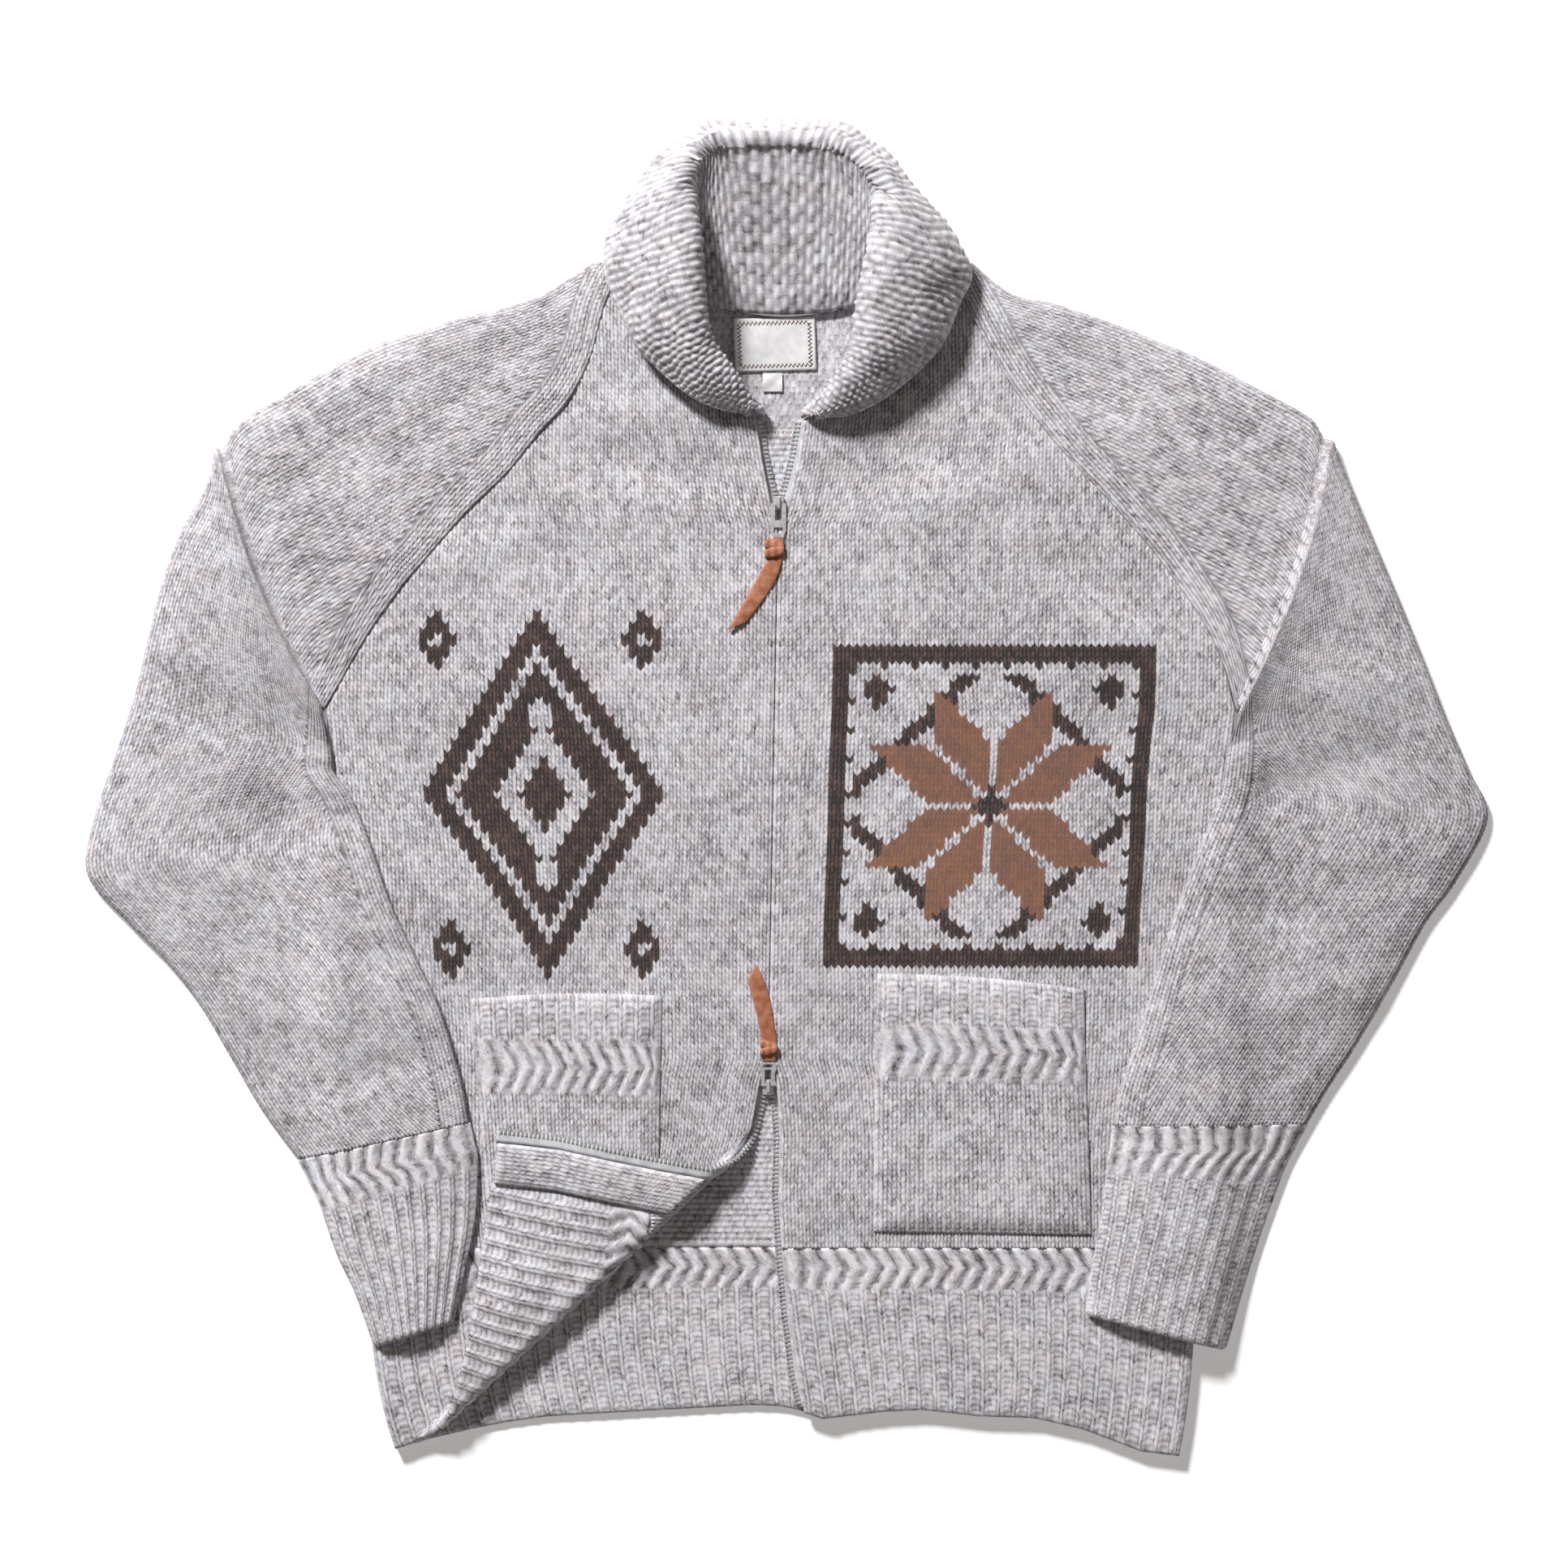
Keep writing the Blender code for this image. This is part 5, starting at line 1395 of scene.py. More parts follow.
class Tube:
    """A flattened tube of cloth: an inner and an outer line with a height above the surface.

    Each ring is a row of seven numbers: inner u and v, outer u and v, sideways bow, height of
    the cloth folded in under it, and 1 where the tube is closed along its inner line.
    """

    def __init__(self, rings: Array, side: Table, outward: float, creases: Table) -> None:
        """Takes the fine rings of a tube.

        Args:
            rings: One row of seven numbers for each ring.
            side: Side edge of the body.
            outward: Way from the body to the sleeve.
            creases: Rows of creases.
        """
        self.rings = rings
        self.side = side
        self.outward = outward
        self.creases = creases

    def ring(self, row: Array) -> list[Array]:
        """The ring's numbers at rows between whole ones."""
        count = np.arange(len(self.rings))
        return [np.interp(row, count, self.rings[:, c]) for c in range(7)]

    def width(self, row: Array) -> tuple[Array, Array]:
        """Flat width between the rounded edges, and the inner edge's inset, at a row.

        Args:
            row: Number of the ring.

        Returns:
            Flat width and inset, in drawing units.
        """
        ui, vi, uo, vo, _, _, closed = self.ring(row)
        inset = EDGE_INSET * closed
        return np.hypot(uo - ui, vo - vi) - EDGE_INSET - inset, inset

    def arc(self, row: Array) -> Array:
        """Length over the top, from edge to edge."""
        flat, inset = self.width(row)
        return flat + QUARTER * (EDGE_INSET + inset)

    def top(self, row: Array, arc: Array, relief: Array) -> Array:
        """World points over the top, by length from the outer edge.

        Args:
            row: Number of the ring.
            arc: Arc lengths from the outer edge.
            relief: Relief of the stitches, in metres.

        Returns:
            World points along the last axis.
        """
        flat, inset = self.width(row)
        from_inner = flat + QUARTER * (EDGE_INSET + inset) - arc
        outer_turn = np.minimum(arc / EDGE_INSET, QUARTER)
        inner_turn = np.clip(from_inner / np.maximum(inset, 0.01), 0.0, QUARTER)
        x = EDGE_INSET * (1.0 - np.cos(outer_turn)) + np.maximum(arc - QUARTER * EDGE_INSET, 0.0)
        near_inner = from_inner < QUARTER * inset
        x = np.where(near_inner, flat + EDGE_INSET + inset * np.cos(inner_turn), x)
        rise = np.where(inset > 0.5, np.sin(outer_turn) * np.sin(inner_turn), np.sin(outer_turn))
        lean = np.where(near_inner, np.cos(inner_turn), 0.0) - np.cos(outer_turn)
        return self.at(row, x + relief * lean / UNIT, rise, relief * rise)

    def at(self, row: Array, x: Array, rise: Array, extra: Array) -> Array:
        """World points of the section at a row.

        Args:
            row: Number of the ring.
            x: Distance in from the outer edge, in drawing units.
            rise: 1 on the top face, -1 on the lower one, between them at the edges.
            extra: Height to add.

        Returns:
            World points.
        """
        ui, vi, uo, vo, bow, bump, closed = self.ring(row)
        length = np.hypot(uo - ui, vo - vi)
        au, av = (uo - ui) / length, (vo - vi) / length
        flat = self.width(row)[0]
        share = np.clip(1.0 - (x - EDGE_INSET) / flat, 0.0, 1.0)
        bend = bow * np.sin(math.pi * share) * self.outward
        u, v = uo - au * x - av * bend, vo - av * x + au * bend
        outside = self.outward * (u - line_at(self.side, v))
        climb = ease(self.side[0][1] + 8.0, CLIMB_END, vi)
        lift = ON_FRONT * climb * ease(*LIFT_REACH, outside) * np.clip(closed * 2.0, 0.0, 1.0)
        stood = bump * (1.0 - 0.6 * ease(0.6, 1.0, share))
        crown = SLEEVE_CROWN * np.minimum(1.0, length / FULL_CROWN) ** 2
        high = KNIT + np.maximum(lift, stood) + SLEEVE_HOLLOW + crown * np.sin(math.pi * share) ** 2 + KNIT
        inner_side = mix(100.0, length - x, np.clip(closed, 0.0, 1.0))
        high = high - EDGE_DROP * (1.0 - ease(0.0, EDGE_REACH, np.minimum(x, inner_side)))
        middle, half = (high + lift) / 2.0, (high - lift) / 2.0
        z = middle + half * rise + extra
        z = z + creased(self.creases, u, v) * np.clip(rise, 0.0, 1.0) ** 2
        return place(u, v, np.maximum(z, 0.0))

    def lower(self, row: float) -> Array:
        """World points of the lower face, from the inner edge to the outer one.

        Args:
            row: Number of the ring.

        Returns:
            World points in order.
        """
        flat, inset = (float(value) for value in self.width(row))
        total = flat + EDGE_INSET + inset
        turns = np.array([QUARTER / 3.0, QUARTER * 0.67])
        inner = total - inset * (1.0 - np.cos(turns))
        outer = EDGE_INSET * (1.0 - np.cos(turns[::-1]))
        x = np.concatenate([inner, EDGE_INSET + flat * (1.0 - np.array(LOWER_SHARES)), outer])
        rise = -np.concatenate([np.sin(turns), np.ones(len(LOWER_SHARES)), np.sin(turns[::-1])])
        return self.at(np.full(len(x), float(row)), x, rise, 0.0 * x)

    def lining(self, row: float) -> Array:
        """World points round the inside of the tube at a row.

        Args:
            row: Number of the ring.

        Returns:
            World points in order.
        """
        flat = float(self.width(row)[0])
        x = EDGE_INSET + flat * np.linspace(0.0, 1.0, 9)
        rows = np.full(9, float(row))
        over = self.at(rows, x, np.ones(9), np.full(9, -KNIT))
        under = self.at(rows, x[::-1], -np.ones(9), np.full(9, KNIT))
        return np.concatenate([over, under])

    def line(self, knit: Knitted, loops: Sequence[Array]) -> None:
        """Adds the inner face of the wall, joined to the outer one at both ends.

        Args:
            knit: Mesh that holds the outer face.
            loops: Indices round the outer face at its first and its last row.
        """
        last = len(self.rings) - 1
        rows = np.unique(np.append(np.arange(0, last, 12), last))
        ids = np.array([knit.add(self.lining(row), np.linspace(64.0, 84.0, 18), row / 2.0, COARSE)
                        for row in rows])
        knit.grid(np.concatenate([ids, ids[:, :1]], axis=1))
        points = np.concatenate(knit.points)
        for loop, ring in zip(loops, (ids[0], ids[-1])):
            outer, inner = np.append(loop, loop[0]), np.append(ring, ring[0])
            knit.bridge(outer, inner, along(points[outer]), along(points[inner]))


class OneSided:
    """A piece of one side of the wearer."""

    which: Side

    @property
    def outward(self) -> float:
        """Way from the body to the sleeve across the drawing."""
        return self.which.value


@dataclass
class Sleeve(OneSided):
    """Raglan sleeve: wales run from the neck over the shoulder and down, beside a seam band."""

    node: str
    which: Side
    raglan: Table
    shoulder: Table
    tube: Table
    side: Table
    creases: Table
    cut: tuple[float, float] = (0.44, 0.62)

    def fine_rings(self) -> Array:
        """Rings at every row, from the neck to the cuff.

        Returns:
            One row for each half course.
        """
        seam = beside(np.array(self.raglan, float), 0.4 * self.outward)
        seam[-1, 0] += 2.5 * self.outward
        shoulder = np.array(self.shoulder, float)
        bow = PLEAT_BOW * ease(3.0, 11.0, np.arange(12))
        yoke = np.column_stack([seam, shoulder, bow, np.zeros(12), np.zeros(12)])
        along_pleat = (shoulder[-1] - seam[-1]) / np.linalg.norm(shoulder[-1] - seam[-1])
        past = np.array((-along_pleat[1], along_pleat[0])) * self.outward
        pleat = [yoke[-1]]
        for distance, height in PLEAT_STEPS:
            armpit = seam[-1] + past * (distance + 2.0) * (0.15, 1.0)
            pleat.append(np.array([*armpit, *(shoulder[-1] + past * distance), PLEAT_BOW, height, 1.0]))
        arm = [pleat[-1]]
        for row, (ui, vi, uo, vo, bump) in enumerate(self.tube):
            arm.append(np.array([ui, vi, uo, vo, max(0.0, PLEAT_BOW - 3.0 * (row + 1)), bump, 1.0]))
        parts = []
        for group, smooth in ((yoke, True), (np.array(pleat), False), (np.array(arm), True)):
            stops = []
            for i, (a, b) in enumerate(zip(group, group[1:])):
                count = max(2, int(round(np.hypot(*(b[2:4] - a[2:4])) / ROW)))
                stops.append(i + np.arange(count) / count)
            places = np.concatenate(stops)
            if smooth:
                parts.append(catmull(group, places))
            else:
                parts.append(np.stack([np.interp(places, np.arange(len(group)), group[:, c])
                                       for c in range(7)], axis=1))
        end = np.array(arm[-1])
        way = end[:4] - parts[-1][-1][:4]
        end[:4] += way / np.hypot(*way[2:4]) * 3.2
        parts.append(end[None, :])
        return np.concatenate(parts)

    def build(self, finishes: Finishes) -> bpy.types.Object:
        """Makes the sleeve.

        Args:
            finishes: The finishes to dress it with.

        Returns:
            The piece as an object.
        """
        knit = Knitted()
        tube = Tube(self.fine_rings(), self.side, self.outward, self.creases)
        last = len(tube.rings) - 1
        climbing = np.abs(np.gradient(tube.rings[:, 5])) > PLEAT_STEEP
        spread = np.convolve(climbing, (0.4, 0.8, 1.0, 0.8, 0.4), "same")
        calm = 1.0 - PLEAT_CALM * spread.clip(0.0, 1.0)
        mains, rests = [], []
        for row in range(last + 1):
            length = float(tube.arc(row))
            band = min(WALE * 4.0, 0.85 * length)
            count = max(2, int((length - band - COLUMN) / COLUMN) + 1)
            s = np.arange(count) / 4.0
            edge = min(row, last - row, 3) / 3.0 * calm[row]
            part_row = np.clip(row + LEG_ROWS * dip(s) * edge, 0, last)
            relief, hollow = plain_relief(s, row / 2.0)
            # In the pleat rows the painted shade between the yarns is held near the PLEAT_HOLLOW level.
            main = knit.add(tube.top(part_row, s * WALE, LEG_RELIEF * calm[row] * relief), s, row / 2.0,
                            mix(PLEAT_HOLLOW, hollow, calm[row]))
            m = np.arange(BAND_COLUMNS + 1)
            s_band = m / 4.0
            part_row = np.clip(row + LEG_ROWS * dip(s_band) * edge, 0, last)
            arc = tube.arc(part_row) - band * (1.0 - m / BAND_COLUMNS)
            relief, hollow = plain_relief(s_band, row / 2.0)
            groove = np.exp(-(m / 1.6) ** 2)
            seam = np.exp(-((BAND_COLUMNS - m) / 1.6) ** 2)
            raised = BAND_RELIEF * calm[row] * relief - SEAM_GROOVE * groove - SEAM_GROOVE * seam
            # Painted shade: the hollow is raised in the seam grooves beside the band, so they are painted
            # darker.
            side = knit.add(tube.top(part_row, arc, raised), s_band + 60.0, row / 2.0,
                            np.maximum(hollow, 0.5 * np.maximum(groove, seam)))
            low = knit.add(tube.lower(row), np.linspace(64.0, 84.0, 10), row / 2.0, COARSE)
            mains.append(np.append(main, side[0]))
            rests.append(np.concatenate([side, low, main[:1]]))
        for a, b in zip(mains, mains[1:]):
            knit.join(a, b)
        knit.grid(np.array(rests))
        tube.line(knit, [np.concatenate([mains[end], rests[end][1:-1]]) for end in (0, -1)])
        item = knit.build(self.node, finishes.knit)
        rings = tube.rings
        outline = np.concatenate([rings[::20, 0:2], rings[::-20, 2:4]])
        sheet_of(item, self.node, *self.cut, 2.0 * area_of(outline), ["back"])
        return item


@dataclass
class Cuff(OneSided):
    """Ribbed cuff with a zigzag band at its top."""

    node: str
    which: Side
    table: Table
    side: Table
    ribs: int = 10
    zigzag_to: float = 2.1
    cut: tuple[float, float] = (0.21, 0.12)

    def build(self, finishes: Finishes) -> bpy.types.Object:
        """Makes the cuff.

        Args:
            finishes: The finishes to dress it with.

        Returns:
            The piece as an object.
        """
        knit = Knitted()
        table = np.column_stack([np.array(self.table, float), np.zeros((6, 2)), np.ones(6)])
        steps = [max(2, int(round(np.hypot(*(b[2:4] - a[2:4])) / ROW))) for a, b in zip(table, table[1:])]
        places = np.concatenate([i + np.arange(n) / n for i, n in enumerate(steps)] + [[5.0]])
        tube = Tube(catmull(table, places), self.side, self.outward, ())
        last = len(places) - 1
        loops = []
        for row in range(last + 1):
            edge = min(row, last - row, 3) / 3.0
            k = np.arange(-4, 8 * self.ribs + 5) / 4.0
            s = k + 0.5 + 2.0
            slanted = dip(s) * (np.floor(s) % 2 == 1)
            part_row = np.clip(row + RIB_ROWS * slanted * edge, 0, last)
            at = np.interp(part_row, np.arange(last + 1), places)
            zigzag = ease(self.zigzag_to + 0.15, self.zigzag_to - 0.1, at)
            peak = np.clip(1.0 - np.abs(at - self.zigzag_to / 2.0) / (self.zigzag_to / 2.0), 0.0, 1.0)
            relief, hollow = rib_relief(s, row / 2.0, zigzag)
            length = tube.arc(part_row)
            share = (k + 1.0) / (2.0 * self.ribs + 2.0)
            shift = STRAND_SHIFT * peak * np.sin(math.pi * share)
            ended = ease(0.0, 3.0, last - row)
            arc = length * (1.0 - share) - shift
            raised = CUFF_RELIEF * relief * ended - ROLLED_EDGE * (1.0 - ended)
            top = knit.add(tube.top(part_row, np.clip(arc, 0.0, length), raised)[::-1], s[::-1], row / 2.0,
                           hollow[::-1])
            low = knit.add(tube.lower(row), np.linspace(24.0, 44.0, 10), row / 2.0, COARSE)
            loops.append(np.concatenate([top, low, top[:1]]))
        knit.grid(np.array(loops))
        tube.line(knit, [loops[0][:-1], loops[-1][:-1]])
        item = knit.build(self.node, finishes.knit)
        rings = tube.rings
        outline = np.concatenate([rings[:, 0:2], rings[::-1, 2:4]])
        sheet_of(item, self.node, *self.cut, 2.0 * area_of(outline), [self.node.replace("cuff", "front")])
        return item


# Collar

COLLAR_STATIONS = (
    (940, 514, 935, 499, 920, 508, 914, 512, 20, 12.5, 10.4),
    (914, 500, 917, 474, 889, 503, 882, 507, 27, 15, 10.4),
    (884, 476, 898, 448, 855, 488, 849, 493, 34, 17, 10.4),
    (858, 448, 881, 420, 822, 460, 816, 466, 40, 18, 10.4),
    (836, 414, 871, 385, 790, 424, 784, 430, 45, 18, 10.4),
    (818, 374, 869, 340, 768, 378, 761, 382, 48, 18, 10.4),
    (808, 340, 866, 296, 752, 336, 746, 340, 48, 16, 10.4),
    (826, 350, 860, 250, 752, 292, 756, 306, 46, 12, 7.0),
    (850, 364, 861, 214, 776, 250, 790, 276, 43, 8, 4.8),
    (880, 376, 876, 194, 814, 196, 836, 246, 40, 5.4, 4.8),
    (915, 383, 905, 190, 864, 156, 885, 236, 38, 5.4, 4.8),
    (962, 386, 962, 192, 962, 151, 962, 240, 37, 5.4, 4.8),
    (1008, 384, 1010, 193, 1045, 156, 1032, 238, 38, 5.4, 4.8),
    (1045, 377, 1046, 206, 1088, 186, 1070, 238, 40, 5.4, 4.8),
    (1078, 364, 1068, 226, 1124, 232, 1108, 264, 43, 8, 4.8),
    (1104, 348, 1072, 258, 1160, 278, 1152, 298, 46, 12, 7.0),
    (1122, 340, 1069, 300, 1190, 332, 1195, 337, 48, 16, 10.4),
    (1112, 376, 1058, 346, 1176, 372, 1182, 376, 48, 18, 10.4),
    (1096, 412, 1053, 388, 1157, 419, 1163, 424, 45, 18, 10.4),
    (1076, 446, 1048, 428, 1130, 452, 1136, 458, 40, 18, 10.4),
    (1048, 478, 1033, 458, 1094, 484, 1100, 489, 34, 17, 10.4),
    (1018, 500, 1013, 484, 1050, 508, 1056, 513, 27, 15, 10.4),
    (988, 516, 995, 502, 1010, 513, 1016, 517, 20, 12.5, 10.4),
)


@dataclass
class ShawlCollar:
    """Collar in crosswise garter ridges, rolled over on itself."""

    ridges: int = 110
    across: int = 57
    relief: float = 0.0014
    cut: tuple[float, float] = (0.50, 0.13)

    def section(self, row: Sequence[float]) -> Array:
        """Inner face at one station, from the neck seam over the roll to the free edge.

        Args:
            row: One station of the collar.

        Returns:
            World points across the collar.
        """
        seam, roll, outline, free = (np.array(row[i:i + 2], float) for i in (0, 2, 4, 6))
        crest, free_height, seam_height = (value * 0.001 for value in row[8:11])
        wall = COLLAR_KNIT / UNIT
        outward = (outline - roll) / np.linalg.norm(outline - roll)
        tucked = (free - outline) @ outward < -6.0
        roll = roll + outward * wall
        outline = outline - outward * wall * (1.0 if tucked else 0.6)
        free = free - outward * wall * (0.0 if tucked else 0.6)
        crest -= COLLAR_KNIT
        fall = mix(crest, free_height, 0.45 if tucked else 0.35)
        edge = mix(crest, free_height, 0.72 if tucked else 0.85)
        guide = ((seam, seam_height), (mix(seam, roll, 0.72), mix(seam_height, crest, 0.55)),
                 (roll, mix(seam_height, crest, 0.86)), (mix(roll, outline, 0.22), crest),
                 (mix(roll, outline, 0.68), fall), (outline, edge), (free, free_height))
        points = np.array([place(spot[0], spot[1], z) for spot, z in guide])
        dense = catmull(points, np.linspace(0.0, 6.0, 240))
        places = along(dense)
        even = np.linspace(0.0, 1.0, self.across)
        return np.stack([np.interp(even, places, dense[:, c]) for c in range(3)], axis=1)

    def build(self, finishes: Finishes) -> bpy.types.Object:
        """Makes the collar.

        Args:
            finishes: The finishes to dress it with.

        Returns:
            The piece as an object.
        """
        knit = Knitted()
        sections = np.array([self.section(row) for row in COLLAR_STATIONS])
        places = np.linspace(0.0, len(COLLAR_STATIONS) - 1.0, 4 * self.ridges + 1)
        inner = catmull(sections, places)
        half = self.across // 2
        fall = np.maximum(inner[:, half:, 2], COLLAR_KNIT + GAP / 2.0)
        inner[:, half:, 2] = fall
        way = np.gradient(inner, axis=0)
        over = np.gradient(inner, axis=1)
        normal = np.cross(over, way)
        normal /= np.linalg.norm(normal, axis=2)[..., None] + 1e-12
        if normal[:, half, 2].mean() < 0.0:
            normal = -normal
        t = (np.arange(len(places)) / 4.0)[:, None]
        k = np.arange(self.across)[None, :] / 4.0
        wobble = 0.17 * np.sin(k * 1.7 + 0.9 * t) + 0.14 * np.sin(k * 0.8 - 0.6 * t)
        ridge = 0.5 - 0.5 * np.cos(2.0 * math.pi * (t + wobble))
        knob = 0.5 + 0.5 * np.cos(2.0 * math.pi * (k + 0.5 * (np.floor(t) % 2)))
        moss = (0.5 - 0.5 * np.cos(2.0 * math.pi * t)) * knob
        height = mix(moss, ridge * (0.30 + 0.70 * knob), ease(0.30, 0.52, k / k.max()))
        rim_in = np.minimum(np.minimum(t * 4.0, (self.ridges - t) * 4.0),
                            np.minimum(k, (self.across - 1) / 4.0 - k) * 4.0)
        near = ease(-1.0, 4.0, rim_in)
        bend = 0.0007 * np.sin(t * 0.55 + k * 0.5) * np.sin(k * 0.35 + 0.4)
        thick = COLLAR_KNIT + (self.relief * height - 0.0004) * near - 0.0014 * (1.0 - near) + bend * near
        outer = inner + normal * thick[..., None]
        outer[..., 2] = np.maximum(outer[..., 2], 0.0003)
        # Painted shade: the hollow rises in the troughs between the garter ridges.
        ids = knit.add(outer, k, t, 0.85 - height * 0.85)
        knit.grid(ids)
        knit.back_grid(ids, inner, k, t, 4)
        item = knit.build("collar", finishes.knit)
        sheet_of(item, "collar", *self.cut, self.cut[0] * self.cut[1] * 0.9, ["front_right", "front_left"],
                 held=Held.FOLDED)
        return item


# Zip

RIGHT_TEETH = (
    (937, 517), (943, 558), (950, 590), (957.8, 622), (945.6, 1335), (941, 1351), (930, 1400),
    (905, 1470), (911, 1537), (917, 1590), (926, 1660), (928, 1736),
)
LEFT_TEETH = (
    (983, 517), (976, 558), (968, 590), (959.7, 622), (946.5, 1335), (952, 1351), (956, 1400),
    (954, 1470), (958, 1537), (965, 1617), (975, 1696), (985, 1736),
)
TAPE_UNDER = 8.0
STRAP_LOW = FRONT_BASE + ZIP_RAISE + KNIT + GAP


class Tree:
    """A Geometry Nodes tree with named inputs, run once on a guide and kept as a plain mesh."""

    def __init__(self, name: str, sizes: dict[str, float]) -> None:
        """Starts the tree with its inputs.

        Args:
            name: Name of the node group.
            sizes: Named inputs with their values.
        """
        self.tree = bpy.data.node_groups.new(name, "GeometryNodeTree")
        self.tree.interface.new_socket("Geometry", in_out="INPUT", socket_type="NodeSocketGeometry")
        self.tree.interface.new_socket("Geometry", in_out="OUTPUT", socket_type="NodeSocketGeometry")
        self.sizes = sizes
        self.keys = {}
        for label in sizes:
            socket = self.tree.interface.new_socket(label, in_out="INPUT", socket_type="NodeSocketFloat")
            self.keys[label] = socket.identifier
        self.start = self.tree.nodes.new("NodeGroupInput")
        self.end = self.tree.nodes.new("NodeGroupOutput")

    def node(self, kind: str, inputs: dict[object, object], **settings: object) -> bpy.types.Node:
        """Adds a node with its constants and links.

        Args:
            kind: Type of the node.
            inputs: Values or sockets of its inputs.
            settings: Properties of the node.

        Returns:
            The node.
        """
        new = self.tree.nodes.new(kind)
        for key, value in settings.items():
            setattr(new, key, value)
        for key, value in inputs.items():
            if isinstance(value, bpy.types.NodeSocket):
                self.tree.links.new(value, new.inputs[key])
            else:
                new.inputs[key].default_value = value
        return new

    def size(self, label: str) -> bpy.types.NodeSocket:
        """Output of a named input."""
        return self.start.outputs[label]

    def bake(self, guide: bpy.types.Object, name: str, result: bpy.types.NodeSocket,
             finish: bpy.types.Material) -> bpy.types.Object:
        """Ends the tree, runs it on the guide and keeps the mesh.

        Args:
            guide: Curve or mesh that the tree works on; it is removed.
            name: Name of the piece.
            result: Geometry to finish.
            finish: Material of the piece.

        Returns:
            The finished piece.
        """
        real = self.node("GeometryNodeRealizeInstances", {0: result})
        coat = self.node("GeometryNodeSetMaterial", {"Geometry": real.outputs[0], "Material": finish})
        self.tree.links.new(coat.outputs[0], self.end.inputs[0])
        modifier = guide.modifiers.new(name, "NODES")
        modifier.node_group = self.tree
        for label, value in self.sizes.items():
            modifier[self.keys[label]] = value
        graph = bpy.context.evaluated_depsgraph_get()
        data = bpy.data.meshes.new_from_object(guide.evaluated_get(graph), depsgraph=graph)
        data.name = name
        bpy.data.objects.remove(guide, do_unlink=True)
        item = bpy.data.objects.new(name, data)
        bpy.context.scene.collection.objects.link(item)
        return item


def guide_line(name: str, points: Array) -> bpy.types.Object:
    """Poly curve through world points.

    Args:
        name: Name of the object.
        points: World points in order.

    Returns:
        The line as an object.
    """
    curve = bpy.data.curves.new(name, "CURVE")
    curve.dimensions = "3D"
    spline = curve.splines.new("POLY")
    spline.points.add(len(points) - 1)
    spline.points.foreach_set("co", np.column_stack([points, np.ones(len(points))]).ravel())
    item = bpy.data.objects.new(name, curve)
    bpy.context.scene.collection.objects.link(item)
    return item


